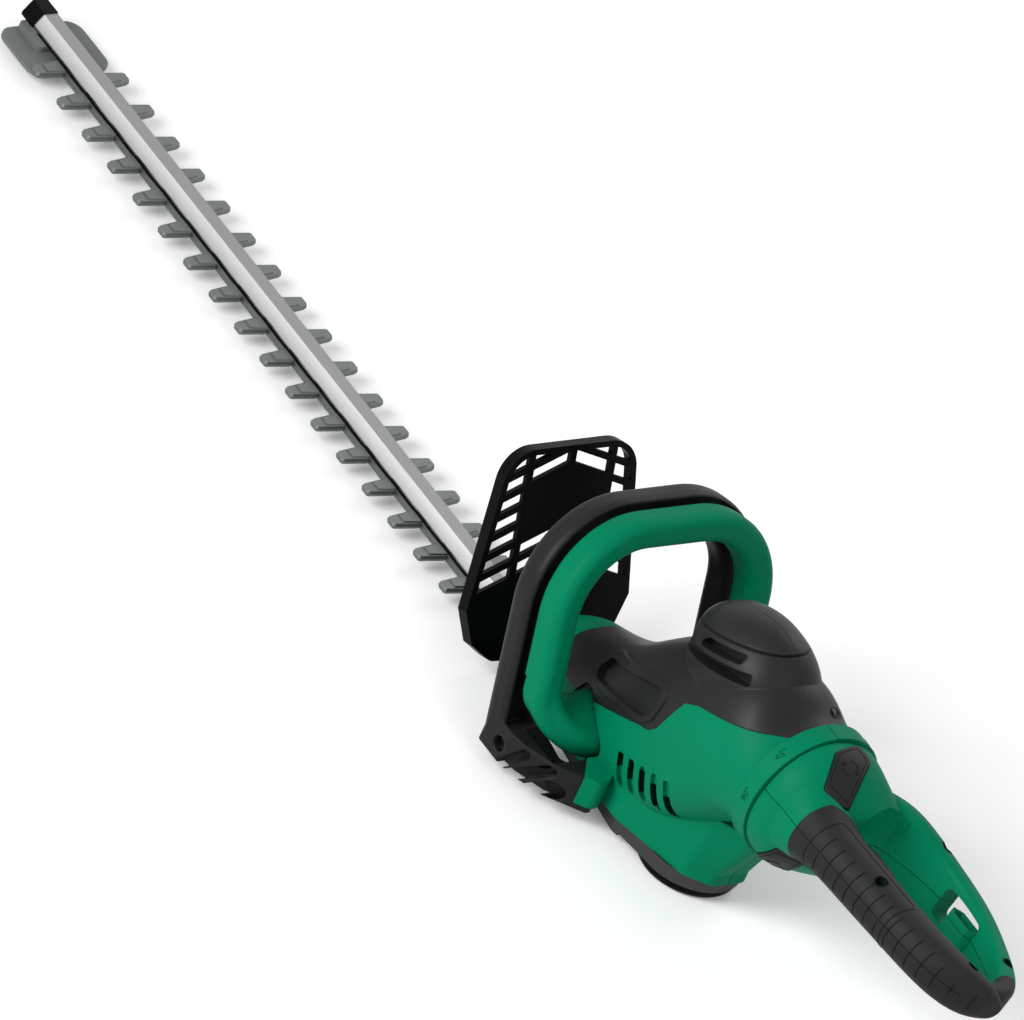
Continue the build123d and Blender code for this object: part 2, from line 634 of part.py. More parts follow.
# Switch bow: follows the bail, then curls in to its pivots in the housing sides
BOW_SIDE = CHANNEL_WALL + BOW_CLEARANCE
leg_end = bail_leg_plane.offset(BOW_LEG_LENGTH)
bow_mid = BAIL_THICK / 2
CURL_ROWS = [
    (Vector(86, 78, 61), Vector(0.10, 0.90, -0.43), Vector(-0.25, -0.42, -0.87), 25, 22),
    (Vector(80, 62, 50), Vector(0.33, 0.45, -0.83), Vector(-0.15, -0.87, -0.45), 36, 22),
]
with BuildPart() as switch_bow:
    add(half_loop(BOW_SIDE, BAIL_THICK - BOW_SIDE, -BOW_DEPTH, BOW_TONGUE, BOW_ROUND, BOW_LEG_LENGTH))
    with BuildSketch(leg_end):
        with Locations((-bow_mid, -(BOW_DEPTH + BOW_CLEARANCE) / 2)):
            RectangleRounded(BAIL_THICK - 2 * BOW_SIDE, BOW_DEPTH - BOW_CLEARANCE, BOW_ROUND)
    for place, outward, along, long, thick in CURL_ROWS:
        along = along.normalized()
        outward = (outward - along * outward.dot(along)).normalized()
        with BuildSketch(Plane(origin=place, x_dir=outward, z_dir=along)):
            RectangleRounded(thick, long, BOW_ROUND)
    with BuildSketch(Plane(origin=(BOW_PIVOT_X, BOW_END_Y, BOW_PIVOT_Z),
                           x_dir=(sin(end_tilt), 0, -cos(end_tilt)), z_dir=(0, -1, 0))):
        RectangleRounded(BOW_END_THICK, BOW_END_LONG, BOW_ROUND)
    loft()
    with BuildSketch(bow_end_plane.offset(-BOW_PIN_LONG)):
        Circle(BOW_PIN_R)
    extrude(amount=BOW_PIN_LONG + 4)
    mirror(about=Plane.XZ)
save(switch_bow, "switch_bow")

# Hand guard: a leaning plate with a rim and a grille of rising slats
guard_half = [(GUARD_FOOT_HALF, GUARD_BOTTOM), (GUARD_FOOT_HALF + 18, GUARD_BOTTOM + 13),
              (GUARD_LOW_HALF, GUARD_BOTTOM + 37), (GUARD_TOP_HALF, GUARD_HEIGHT)]
GUARD_OUTLINE = guard_half + [(-y, h) for y, h in reversed(guard_half)]
slat_rise = tan(radians(SLAT_SLOPE))


def guard_outline(inset):
    """Outline of the hand guard, drawn in by inset."""
    with BuildSketch() as outline:
        with BuildLine():
            Polyline(*GUARD_OUTLINE, close=True)
        make_face()
        fillet(outline.vertices().group_by(Axis.Y)[-1], GUARD_ROUND)
        fillet(outline.vertices().group_by(Axis.Y)[0], 10)
        if inset:
            offset(amount=-inset)
    return outline.sketch


def slat_gap(inner, outer, height):
    """Corners of one gap that rises towards the middle."""
    lift = (GUARD_LOW_HALF - outer) * slat_rise
    rise = (outer - inner) * slat_rise
    return [(outer, height + lift), (inner, height + lift + rise),
            (inner, height + lift + rise + SLAT_GAP), (outer, height + lift + SLAT_GAP)]


with BuildSketch() as slat_gaps:
    post_in = GUARD_POST_Y - GUARD_POST_WIDTH / 2
    post_out = GUARD_POST_Y + GUARD_POST_WIDTH / 2
    for k in range(SLAT_COUNT):
        with BuildLine():
            Polyline(*slat_gap(post_out, GUARD_LOW_HALF, SLAT_FIRST + SLAT_PITCH * k), close=True)
        make_face()
    for k in MIDDLE_SLATS:
        with BuildLine():
            Polyline(*slat_gap(GUARD_POST_WIDTH / 2, post_in, SLAT_FIRST + SLAT_PITCH * k), close=True)
        make_face()
    mirror(about=Plane.YZ)
    add(guard_outline(GUARD_RIM_WALL + 1), mode=Mode.INTERSECT)

with BuildPart() as hand_guard:
    with BuildSketch(guard_plane):
        add(guard_outline(0))
        add(slat_gaps.sketch, mode=Mode.SUBTRACT)
    extrude(amount=GUARD_THICK)
    with BuildSketch(guard_plane):
        add(guard_outline(0))
        add(guard_outline(GUARD_RIM_WALL), mode=Mode.SUBTRACT)
    extrude(amount=GUARD_RIM)
    with BuildSketch(Plane.YZ.offset(GUARD_X)):
        with Locations((0, RAIL_TOP_Z + GUARD_CLEARANCE)):
            Rectangle(2 * (SPINE_HALF + GUARD_CLEARANCE), 40, align=(Align.CENTER, Align.MAX))
    extrude(amount=60, both=True, mode=Mode.SUBTRACT)
    add(guard_screw_holes.part, mode=Mode.SUBTRACT)
save(hand_guard, "hand_guard")


# Blades: two toothed bars that slide against each other
def tooth_row(first_x, count, side):
    """Teeth along one edge of a blade, drawn with rounded ends."""
    with BuildSketch() as teeth:
        for i in range(count):
            x = first_x - TOOTH_PITCH * i
            corners = [(x - TOOTH_ROOT_WIDTH / 2, side * (SPINE_HALF - 1)),
                       (x - TOOTH_TIP_WIDTH / 2, side * TOOTH_TIP_Y),
                       (x + TOOTH_TIP_WIDTH / 2, side * TOOTH_TIP_Y),
                       (x + TOOTH_ROOT_WIDTH / 2, side * (SPINE_HALF - 1))]
            with BuildLine():
                FilletPolyline(*corners[::-side], radius=2.5, close=True)
            make_face()
    return teeth.sketch


YOKE_X = CAM_R + 2 * CRANK_THROW + SLIDE_FIT
YOKE_Y = CAM_R + CRANK_THROW + SLIDE_FIT
SLOT_LONG = STROKE + 2 * (BUSH_R + SLIDE_FIT) + 2 * SLIDE_FIT


def blade_bar():
    """Flat bar of a blade with its yoke window and bolt slots."""
    with BuildSketch() as bar:
        with Locations((CRANK_X, 0)):
            RectangleRounded(2 * (YOKE_X + YOKE_WALL), 2 * (YOKE_Y + YOKE_WALL), 6)
        with Locations((CRANK_X, 0)):
            Rectangle(BLADE_END_X - CRANK_X, 2 * SPINE_HALF, align=(Align.MIN, Align.CENTER))
        fillet(bar.vertices().group_by(Axis.X)[-1], 6)
        with Locations((CRANK_X, 0)):
            RectangleRounded(2 * YOKE_X, 2 * YOKE_Y, 5, mode=Mode.SUBTRACT)
        with Locations([(x, 0) for x in BOLT_XS]):
            SlotOverall(SLOT_LONG, 2 * (BUSH_R + SLIDE_FIT), mode=Mode.SUBTRACT)
    return bar.sketch


for name, base_z, step in (("upper_blade", UPPER_Z, 1), ("lower_blade", LOWER_Z + BLADE_THICK, -1)):
    with BuildPart() as blade:
        with BuildSketch(Plane.XY.offset(base_z)):
            add(tooth_row(FIRST_TOOTH_X, TEETH_LEFT, 1))
            add(tooth_row(FIRST_TOOTH_X - TOOTH_PITCH / 2, TEETH_RIGHT, -1))
        extrude(amount=step * BLADE_THICK, taper=TOOTH_TAPER)
        with BuildSketch(Plane.XY.offset(base_z)):
            add(blade_bar())
        extrude(amount=step * BLADE_THICK)
    save(blade, name)

# Rail on top of the blades, its end cap and the blunt tip
rail_half = [(RAIL_BASE_HALF, 0), (RAIL_BASE_HALF, RAIL_LIP), (RAIL_TOP_HALF, RAIL_HEIGHT)]
RAIL_OUTLINE = rail_half + [(-y, z) for y, z in reversed(rail_half)]


def rail_form(x, length, grow):
    """Length of rail profile, grown all round by grow."""
    with BuildPart() as form:
        with BuildSketch(cross_plane(x, RAIL_Z)):
            with BuildLine():
                Polyline(*RAIL_OUTLINE, close=True)
            make_face()
            if grow:
                offset(amount=grow)
        extrude(amount=length)
    return form.part


with BuildPart() as blade_rail:
    add(rail_form(RAIL_START_X, RAIL_END_X - RAIL_START_X, 0))
    with Locations([(x, 0, RAIL_Z) for x in BOLT_XS + [TIP_BOLT_X]]):
        Cylinder(BOLT_R + SEAT_FIT, BOLT_GRIP + SLIDE_FIT, align=LOW, mode=Mode.SUBTRACT)
save(blade_rail, "blade_rail")

with BuildPart() as rail_end_cap:
    add(rail_form(RAIL_END_X - CAP_OVERLAP, CAP_OVERLAP + CAP_LENGTH, CAP_WALL))
    split(bisect_by=Plane.XY.offset(RAIL_Z + SEAT_FIT), keep=Keep.TOP)
    add(rail_form(RAIL_START_X, RAIL_END_X - RAIL_START_X, SEAT_FIT), mode=Mode.SUBTRACT)
save(rail_end_cap, "rail_end_cap")

with BuildPart() as tip_guard:
    with BuildSketch(Plane.XY.offset(TIP_PLATE_Z)) as tip_plan:
        with Locations((TIP_PLATE_START_X, 0)):
            Rectangle(TIP_PLATE_END_X - TIP_PLATE_START_X, 2 * TIP_PLATE_HALF, align=(Align.MIN, Align.CENTER))
        fillet(tip_plan.vertices(), TIP_CORNER)
    extrude(amount=TIP_PLATE_THICK)
    with Locations((TIP_BOLT_X, 0, TIP_PLATE_Z)):
        Cylinder(BOLT_R + SEAT_FIT, TIP_PLATE_THICK, align=LOW, mode=Mode.SUBTRACT)
save(tip_guard, "tip_guard")

with BuildPart() as tip_spacer:
    with BuildSketch(Plane.XY.offset(TIP_PLATE_Z + TIP_PLATE_THICK)) as spacer_plan:
        with Locations((TIP_SPACER_X, 0)):
            Rectangle(TIP_PLATE_END_X - TIP_SPACER_X, 2 * TIP_SPACER_HALF, align=(Align.MIN, Align.CENTER))
        fillet(spacer_plan.vertices(), 4)
    extrude(amount=RAIL_Z - TIP_PLATE_Z - TIP_PLATE_THICK)
    with Locations((TIP_BOLT_X, 0, TIP_PLATE_Z)):
        Cylinder(BOLT_R + SEAT_FIT, 20, align=LOW, mode=Mode.SUBTRACT)
save(tip_spacer, "tip_spacer")

# Bolts, washers and bushes that carry the sliding blades
WASHER_TOP_Z = LOWER_Z - WASHER_GAP
with BuildPart() as blade_bolts:
    with BuildSketch(Plane.XY.offset(WASHER_TOP_Z - WASHER_H - BOLT_HEAD_H)):
        with Locations([(x, 0) for x in BOLT_XS]):
            RegularPolygon(BOLT_HEAD_R, 6)
    extrude(amount=BOLT_HEAD_H)
    with Locations([(x, 0, WASHER_TOP_Z - WASHER_H) for x in BOLT_XS]):
        Cylinder(BOLT_R, RAIL_Z + BOLT_GRIP - WASHER_TOP_Z + WASHER_H, align=LOW)
save(blade_bolts, "blade_bolts")

with BuildPart() as blade_washers:
    with Locations([(x, 0, WASHER_TOP_Z) for x in BOLT_XS]):
        Cylinder(WASHER_R, WASHER_H, align=(Align.CENTER, Align.CENTER, Align.MAX))
        Cylinder(BOLT_R + SEAT_FIT, WASHER_H, align=(Align.CENTER, Align.CENTER, Align.MAX), mode=Mode.SUBTRACT)
save(blade_washers, "blade_washers")

with BuildPart() as blade_bushes:
    with Locations([(x, 0, WASHER_TOP_Z) for x in BOLT_XS]):
        Cylinder(BUSH_R, RAIL_Z - WASHER_TOP_Z, align=LOW)
        Cylinder(BOLT_R + SEAT_FIT, RAIL_Z - WASHER_TOP_Z, align=LOW, mode=Mode.SUBTRACT)
save(blade_bushes, "blade_bushes")

with BuildPart() as tip_bolt:
    with BuildSketch(Plane.XY.offset(TIP_PLATE_Z - BOLT_HEAD_H)):
        with Locations((TIP_BOLT_X, 0)):
            RegularPolygon(BOLT_HEAD_R, 6)
    extrude(amount=BOLT_HEAD_H)
    with Locations((TIP_BOLT_X, 0, TIP_PLATE_Z)):
        Cylinder(BOLT_R, RAIL_Z + BOLT_GRIP - TIP_PLATE_Z, align=LOW)
save(tip_bolt, "tip_bolt")

# Gear case under the housing, and the round bottom cover
case_side = [(MOTOR_X, CASE_R), (20, CASE_HALF), (34, CASE_HALF - 2), (120, NOSE_HALF - 2)]
with BuildPart() as gear_case:
    with BuildSketch(Plane.XY.offset(CASE_BOTTOM_Z)):
        with Locations((MOTOR_X, 0)):
            Circle(CASE_R)
        with BuildLine():
            Polyline(*case_side, *[(x, -y) for x, y in reversed(case_side)], close=True)
        make_face()
        with Locations((110, 0)):
            Rectangle(100, 2 * (NOSE_HALF - 2), align=(Align.MIN, Align.CENTER))
    extrude(amount=SHELL_BOTTOM_Z - CASE_BOTTOM_Z)
    split(bisect_by=guard_plane, keep=Keep.BOTTOM)
    with BuildSketch(Plane.XY):
        with Locations((COVER_FRONT_X + SEAT_FIT, 0)):
            Rectangle(120, 120, align=(Align.MAX, Align.CENTER))
    extrude(amount=COVER_HEIGHT, mode=Mode.SUBTRACT)
    with BuildSketch(Plane.XY.offset(CASE_BOTTOM_Z + CASE_FLOOR)):
        with Locations((CRANK_X, 0)):
            RectangleRounded(2 * (YOKE_X + YOKE_WALL + CRANK_THROW + 1), 2 * (YOKE_Y + YOKE_WALL + 1.5), 6)
        with Locations((CRANK_X, 0)):
            Rectangle(200, 2 * (SPINE_HALF + 1), align=(Align.MIN, Align.CENTER))
    extrude(amount=20, mode=Mode.SUBTRACT)
    with Locations((CRANK_X, 0, CASE_BOTTOM_Z)):
        Cylinder(CRANK_SHAFT_R + RUN_FIT, CASE_FLOOR, align=LOW, mode=Mode.SUBTRACT)
    with Locations((BOLT_FIRST_X, 0, CASE_BOTTOM_Z)):
        Cylinder(WASHER_R + 2, CASE_FLOOR, align=LOW, mode=Mode.SUBTRACT)
    add(side_sockets.part, mode=Mode.SUBTRACT)
    with Locations([(x, y, COVER_HEIGHT) for x, y in COVER_SCREWS]):
        Cylinder(SCREW_R + SEAT_FIT, COVER_SCREW_GRIP + SLIDE_FIT, align=LOW, mode=Mode.SUBTRACT)
save(gear_case, "gear_case")

with BuildPart() as bottom_cover:
    with Locations((MOTOR_X, 0)):
        Cylinder(COVER_R, COVER_HEIGHT, align=LOW)
    fillet(bottom_cover.edges().group_by(Axis.Z)[0], 5)
    with BuildSketch(Plane.XY):
        with Locations((COVER_FRONT_X, 0)):
            Rectangle(100, 100, align=(Align.MIN, Align.CENTER))
    extrude(amount=COVER_HEIGHT, mode=Mode.SUBTRACT)
    with Locations([(x, y, 0) for x, y in COVER_SCREWS]):
        Cylinder(SCREW_R + SEAT_FIT, COVER_HEIGHT, align=LOW, mode=Mode.SUBTRACT)
        Cylinder(SCREW_HEAD_R + SLIDE_FIT, COVER_SCREW_SINK, align=LOW, mode=Mode.SUBTRACT)
save(bottom_cover, "bottom_cover")

with BuildPart() as cover_screws:
    with Locations([(x, y, COVER_SCREW_SINK) for x, y in COVER_SCREWS]):
        Cylinder(SCREW_R, COVER_HEIGHT + COVER_SCREW_GRIP - COVER_SCREW_SINK, align=LOW)
        Cylinder(SCREW_HEAD_R, SCREW_HEAD_H, align=(Align.CENTER, Align.CENTER, Align.MAX))
save(cover_screws, "cover_screws")


# Gear drive
def gear_points(teeth, turn_by):
    """Outline of an involute spur gear."""
    pitch_r = GEAR_MODULE * teeth / 2
    base_r = pitch_r * cos(radians(20))
    root_r = pitch_r - GEAR_MODULE * GEAR_DEDENDUM
    tip_r = pitch_r + GEAR_MODULE * GEAR_ADDENDUM
    pitch_spread = tan(radians(20)) - radians(20)
    half = pi / (2 * teeth) - GEAR_BACKLASH / (2 * pitch_r)
    levels = [root_r, max(base_r, root_r + 0.05), (max(base_r, root_r) + tip_r) / 2, tip_r]
    points = []
    for i in range(teeth):
        middle = 2 * pi * i / teeth + turn_by
        flank = []
        for r in levels:
            press = acos(min(1, base_r / r))
            flank.append((r, half + pitch_spread - (tan(press) - press)))
        points += [(r * cos(middle - a), r * sin(middle - a)) for r, a in flank]
        points += [(r * cos(middle + a), r * sin(middle + a)) for r, a in reversed(flank)]
    return points


with BuildPart() as crank_gear:
    with BuildSketch(Plane.XY.offset(GEAR_BOTTOM_Z)):
        with Locations((CRANK_X, 0)):
            Polygon(*gear_points(GEAR_TEETH, 0), align=None)
            Circle(CRANK_SHAFT_R + SEAT_FIT, mode=Mode.SUBTRACT)
            with PolarLocations(GEAR_R * 0.58, 6):
                Circle(4.5, mode=Mode.SUBTRACT)
    extrude(amount=GEAR_THICK)
save(crank_gear, "crank_gear")

with BuildPart() as eccentric_shaft:
    with Locations((CRANK_X, 0, CASE_BOTTOM_Z + SLIDE_FIT)):
        Cylinder(CRANK_SHAFT_R, CRANK_TOP_Z - CASE_BOTTOM_Z - SLIDE_FIT, align=LOW)
    with Locations((CRANK_X, CRANK_THROW, UPPER_Z + CAM_SPACE)):
        Cylinder(CAM_R, BLADE_THICK, align=LOW)
    with Locations((CRANK_X, -CRANK_THROW, LOWER_Z - CAM_SPACE)):
        Cylinder(CAM_R, BLADE_THICK, align=LOW)
    with Locations((CRANK_X, 0, UPPER_Z + CAM_SPACE + BLADE_THICK)):
        Cylinder(CRANK_SHAFT_R + 3, GEAR_BOTTOM_Z - UPPER_Z - CAM_SPACE - BLADE_THICK, align=LOW)
save(eccentric_shaft, "eccentric_shaft")

# Motor
with BuildPart() as motor_shaft:
    with Locations((MOTOR_X, 0, GEAR_BOTTOM_Z)):
        Cylinder(SHAFT_R, UPPER_BEARING_Z + BEARING_H - GEAR_BOTTOM_Z, align=LOW)
    with BuildSketch(Plane.XY.offset(GEAR_BOTTOM_Z)):
        with Locations((MOTOR_X, 0)):
            Polygon(*gear_points(PINION_TEETH, pi / PINION_TEETH), align=None)
    extrude(amount=GEAR_THICK)
save(motor_shaft, "motor_shaft")

with BuildPart() as stator_core:
    with BuildSketch(Plane.XY.offset(STATOR_BOTTOM_Z)):
        with Locations((MOTOR_X, 0)):
            Circle(STATOR_R)
            Circle(ARMATURE_R + AIR_GAP, mode=Mode.SUBTRACT)
            with PolarLocations(ARMATURE_R + 5, 2, start_angle=0):
                Rectangle(9, 22, mode=Mode.SUBTRACT)
    extrude(amount=STATOR_HEIGHT)
save(stator_core, "stator_core")

with BuildPart() as field_windings:
    for z in (WINDING_BOTTOM_Z, STATOR_TOP_Z):
        with Locations((MOTOR_X, 0, z)):
            Cylinder(STATOR_R - 1.5, WINDING_HEIGHT, align=LOW)
            Cylinder(ARMATURE_R + 2.5, WINDING_HEIGHT, align=LOW, mode=Mode.SUBTRACT)
save(field_windings, "field_windings")

with BuildPart() as armature_core:
    with BuildSketch(Plane.XY.offset(STATOR_BOTTOM_Z + 2)):
        with Locations((MOTOR_X, 0)):
            Circle(ARMATURE_R)
            Circle(SHAFT_R + SEAT_FIT, mode=Mode.SUBTRACT)
            with PolarLocations(ARMATURE_R - 1.5, 12):
                Rectangle(5, 1.6, mode=Mode.SUBTRACT)
    extrude(amount=STATOR_HEIGHT - 4)
save(armature_core, "armature_core")

with BuildPart() as armature_windings:
    for z in (STATOR_BOTTOM_Z - 6, STATOR_TOP_Z - 2):
        with Locations((MOTOR_X, 0, z)):
            Cylinder(ARMATURE_R - 2, 8, align=LOW)
            Cylinder(SHAFT_R + SEAT_FIT, 8, align=LOW, mode=Mode.SUBTRACT)
save(armature_windings, "armature_windings")

with BuildPart() as commutator:
    with BuildSketch(Plane.XY.offset(COMMUTATOR_Z)):
        with Locations((MOTOR_X, 0)):
            Circle(COMMUTATOR_R)
            Circle(SHAFT_R + SEAT_FIT, mode=Mode.SUBTRACT)
            with PolarLocations(COMMUTATOR_R, 24):
                Rectangle(1.4, 0.5, mode=Mode.SUBTRACT)
    extrude(amount=COMMUTATOR_H)
save(commutator, "commutator")

with BuildPart() as carbon_brushes:
    for side in (1, -1):
        with Locations((MOTOR_X, side * (COMMUTATOR_R + SLIDE_FIT), COMMUTATOR_Z + 3)):
            Box(6, BRUSH_LONG, 8, align=(Align.CENTER, Align.MIN if side > 0 else Align.MAX, Align.MIN))
save(carbon_brushes, "carbon_brushes")

with BuildPart() as brush_holders:
    for side in (1, -1):
        with Locations((MOTOR_X, side * (COMMUTATOR_R + 1.2), COMMUTATOR_Z + 1)):
            Box(10, BRUSH_LONG - 0.7, 12, align=(Align.CENTER, Align.MIN if side > 0 else Align.MAX, Align.MIN))
        with Locations((MOTOR_X, side * COMMUTATOR_R, COMMUTATOR_Z + 3 - SEAT_FIT)):
            Box(6 + 2 * SEAT_FIT, 20, 8 + 2 * SEAT_FIT,
                align=(Align.CENTER, Align.MIN if side > 0 else Align.MAX, Align.MIN), mode=Mode.SUBTRACT)
save(brush_holders, "brush_holders")

for name, z in (("upper_bearing", UPPER_BEARING_Z), ("lower_bearing", LOWER_BEARING_Z)):
    with BuildPart() as bearing:
        with Locations((MOTOR_X, 0, z)):
            Cylinder(BEARING_R, BEARING_H, align=LOW)
            Cylinder(SHAFT_R + RUN_FIT, BEARING_H, align=LOW, mode=Mode.SUBTRACT)
    save(bearing, name)

with BuildPart() as cooling_fan:
    with Locations((MOTOR_X, 0, FAN_Z)):
        Cylinder(FAN_R, 2, align=LOW)
        Cylinder(SHAFT_R + 4, FAN_H, align=LOW)
    with BuildSketch(Plane.XY.offset(FAN_Z)):
        with Locations((MOTOR_X, 0)):
            with PolarLocations(FAN_R * 0.62, FAN_BLADES):
                Rectangle(FAN_R * 0.72, 1.6, rotation=24)
    extrude(amount=FAN_H)
    with BuildSketch(Plane.XY.offset(FAN_Z)):
        with Locations((MOTOR_X, 0)):
            Circle(SHAFT_R + SEAT_FIT)
    extrude(amount=FAN_H, mode=Mode.SUBTRACT)
save(cooling_fan, "cooling_fan")

# Rear handle: its own frame has x along the tool, y to the grip side and z to the visible side
turn = radians(HANDLE_TURN)
handle_plane = Plane(origin=(SWIVEL_X, 0, SWIVEL_Z), x_dir=(1, 0, 0), z_dir=(0, -cos(turn), sin(turn)))
ACROSS = Vector(0, -cos(turn), sin(turn))
GRIPWARD = Vector(0, sin(turn), cos(turn))


def handle_place(x, rho, v):
    """Point of the rear handle's own frame."""
    return Vector(SWIVEL_X + x, 0, SWIVEL_Z) + GRIPWARD * rho + ACROSS * v


def handle_loft(stations, inset):
    """Loft of ovals along the handle, drawn in by inset."""
    with BuildPart() as form:
        for x, rho, half_w, up, down in stations:
            end = inset if x == stations[-1][0] else 0
            with BuildSketch(Plane(origin=handle_place(x + end, rho, 0), x_dir=ACROSS * -1, z_dir=(1, 0, 0))):
                with BuildLine():
                    Spline(*oval_points(half_w - inset, up - inset, down - inset, 2.15, 2.15), periodic=True)
                make_face()
        loft()
    return form.part


def handle_side(points, radius, half):
    """Side-view shape of the handle, made to reach half to each side."""
    with BuildPart() as form:
        with BuildSketch(handle_plane):
            with BuildLine():
                FilletPolyline(*points, radius=radius, close=True)
            make_face()
        extrude(amount=half, both=True)
    return form.part


# Stations: x, middle on the grip side, half width, reach to the grip side and away from it
CONE_STATIONS = [(-HANDLE_GAP, 0, CONE_R, CONE_R, CONE_R), (-14, -0.5, 46.0, 47.0, 46.5),
                 (-30, -7, 38.0, 45.0, 44.0), (-46, -22, 29.0, 32.0, 39.0)]
GRIP_STATIONS = [(-10, 6, 38, 39, 40), (-26, 14, 31, 31.5, 30), (-46, 21.5, 21, 23, 21), (-70, 21.5, 18, 20, 20),
                 (-104, 18.5, 17.5, 19, 19), (-149, 13, 17, 18.5, 18.5), (-178, 5, 16.5, 16.5, 19),
                 (-195, -6, 13, 12.5, 18), (-203, -12, 7, 8, 11)]
LOOP_SIDE = [(-48, 5), (-40, -20), (-40, -34), (-64, -53.5), (-82, -61), (-134, -54), (-157, -50), (-172, -38), (-175, -20),
             (-160, 4), (-100, 8)]
SKIN_SIDE = [(-36, 60), (-38, 30), (-50, 9), (-74, 8), (-104, 5), (-149, -1), (-168, -10), (-176, -25), (-179, -47),
             (-192, -42), (-215, -26), (-215, 60)]

# Stations of the guard band: x, middle on the grip side, half width across, thickness
BAND_STATIONS = [(-14, -28, 30, 16), (-34, -40, 33, 16), (-60, -60, 27, 15), (-84, -69, 21, 15), (-112, -69, 18, 15),
                 (-142, -61, 15.5, 15), (-168, -50, 13.5, 15), (-186, -35, 12, 15), (-190, -14, 11, 13)]

with BuildPart() as band_form:
    for i, (x, rho, half_w, thick) in enumerate(BAND_STATIONS):
        before = BAND_STATIONS[max(i - 1, 0)]
        after = BAND_STATIONS[min(i + 1, len(BAND_STATIONS) - 1)]
        along = handle_place(after[0], after[1], 0) - handle_place(before[0], before[1], 0)
        with BuildSketch(Plane(origin=handle_place(x, rho, 0), x_dir=ACROSS, z_dir=along)):
            RectangleRounded(2 * half_w, thick, BAND_ROUND)
    loft()

grip_core = handle_loft(GRIP_STATIONS, GRIP_SKIN)
grip_outer = handle_loft(GRIP_STATIONS, 0)
skin_region = handle_side(SKIN_SIDE, 4, 30)
with BuildPart() as skin_form:
    add(grip_outer)
    add(band_form.part)
    add(skin_region, mode=Mode.INTERSECT)
    add(grip_core, mode=Mode.SUBTRACT)

# Release buttons: two pentagons that follow the cone
BUTTON_SHAPE = [(18, 19.3), (6.5, 22.8), (-20.5, -8.9), (-6, -21.3), (12.5, -4.2)]


def button_prism(sign, grow, low):
    """Prism of one release button, square to the swivel axis."""
    angle = sign * radians(BUTTON_ANGLE)
    out = GRIPWARD * cos(angle) + ACROSS * sin(angle)
    with BuildPart() as form:
        with BuildSketch(Plane(origin=handle_place(BUTTON_X, 0, 0) + out * low, x_dir=(1, 0, 0), z_dir=out)):
            with BuildLine():
                FilletPolyline(*[(x, -sign * y) for x, y in BUTTON_SHAPE][::-sign], radius=3, close=True)
            make_face()
            if grow:
                offset(amount=grow)
        extrude(amount=60)
    return form.part


for name, sign in (("release_button_upper", 1), ("release_button_lower", -1)):
    with BuildPart() as release_button:
        add(button_prism(sign, 0, BUTTON_FOOT_R))
        add(handle_loft(CONE_STATIONS, -BUTTON_PROUD), mode=Mode.INTERSECT)
    save(release_button, name)

# Trigger with its pin and switch
TRIGGER_SIDE = [(-42, 10), (-42, 3), (-52, -7), (-60, -11), (-82, -10), (-96, -3), (-98, 8), (-74, 13)]
TRIGGER_BAY = [(-38, 14), (-38, 0), (-52, -16), (-100, -16), (-102, 14), (-98, 24), (-60, 24)]
SWITCH_SIDE = [(-72, 24.5), (-98, 24.5), (-98, 33), (-72, 33)]
with BuildPart() as trigger:
    add(handle_side(TRIGGER_SIDE, 3, TRIGGER_HALF))
    with BuildSketch(handle_plane):
        with Locations(TRIGGER_PIVOT):
            Circle(TRIGGER_PIN_R + RUN_FIT)
    extrude(amount=20, both=True, mode=Mode.SUBTRACT)
save(trigger, "trigger")

with BuildPart() as trigger_pin:
    with BuildSketch(handle_plane):
        with Locations(TRIGGER_PIVOT):
            Circle(TRIGGER_PIN_R)
    extrude(amount=TRIGGER_PIN_HALF, both=True)
save(trigger_pin, "trigger_pin")

with BuildPart() as rear_switch:
    add(handle_side(SWITCH_SIDE, 1.5, TRIGGER_HALF - 1))
save(rear_switch, "rear_switch")

# Screws of the handle halves, put in from the visible side
screw_places = [handle_plane.location * Location((x, rho, HANDLE_SCREW_FACE)) for x, rho in HANDLE_SCREWS]
TOP = (Align.CENTER, Align.CENTER, Align.MAX)
with BuildPart() as handle_screws:
    with Locations(screw_places):
        Cylinder(SCREW_R, HANDLE_SCREW_LONG, align=TOP)
        Cylinder(SCREW_HEAD_R, SCREW_HEAD_H, align=LOW)
save(handle_screws, "handle_screws")

with BuildPart() as handle_hollows:
    with Locations(screw_places):
        Cylinder(SCREW_R + SEAT_FIT, HANDLE_SCREW_LONG + 1, align=TOP)
        Cylinder(SCREW_HEAD_R + SLIDE_FIT, 40, align=LOW)
    add(handle_side(TRIGGER_BAY, 2, TRIGGER_HALF + SLIDE_FIT + 0.2))
    add(handle_side(SWITCH_SIDE, 1.5, TRIGGER_HALF - 1 + SEAT_FIT))
    with BuildSketch(handle_plane):
        with Locations(TRIGGER_PIVOT):
            Circle(TRIGGER_PIN_R + SEAT_FIT)
    extrude(amount=TRIGGER_PIN_HALF + SEAT_FIT, both=True)
    for sign in (1, -1):
        add(button_prism(sign, SLIDE_FIT + 0.1, BUTTON_FOOT_R - BUTTON_TRAVEL - SLIDE_FIT))



def inlet_prism(grow, low, high):
    """Flat six-sided prism of the lead inlet."""
    with BuildPart() as form:
        with BuildSketch(Plane(origin=handle_place(INLET_X, INLET_RHO, low), x_dir=(1, 0, 0), z_dir=ACROSS)):
            with BuildLine():
                shoulder = INLET_LONG / 2 - INLET_WIDE / 3
                Polyline((INLET_LONG / 2, 0), (shoulder, INLET_WIDE / 2), (-shoulder, INLET_WIDE / 2),
                         (-INLET_LONG / 2, 0), (-shoulder, -INLET_WIDE / 2), (shoulder, -INLET_WIDE / 2), close=True)
            make_face()
            if grow:
                offset(amount=grow)
        extrude(amount=high - low)
    return form.part


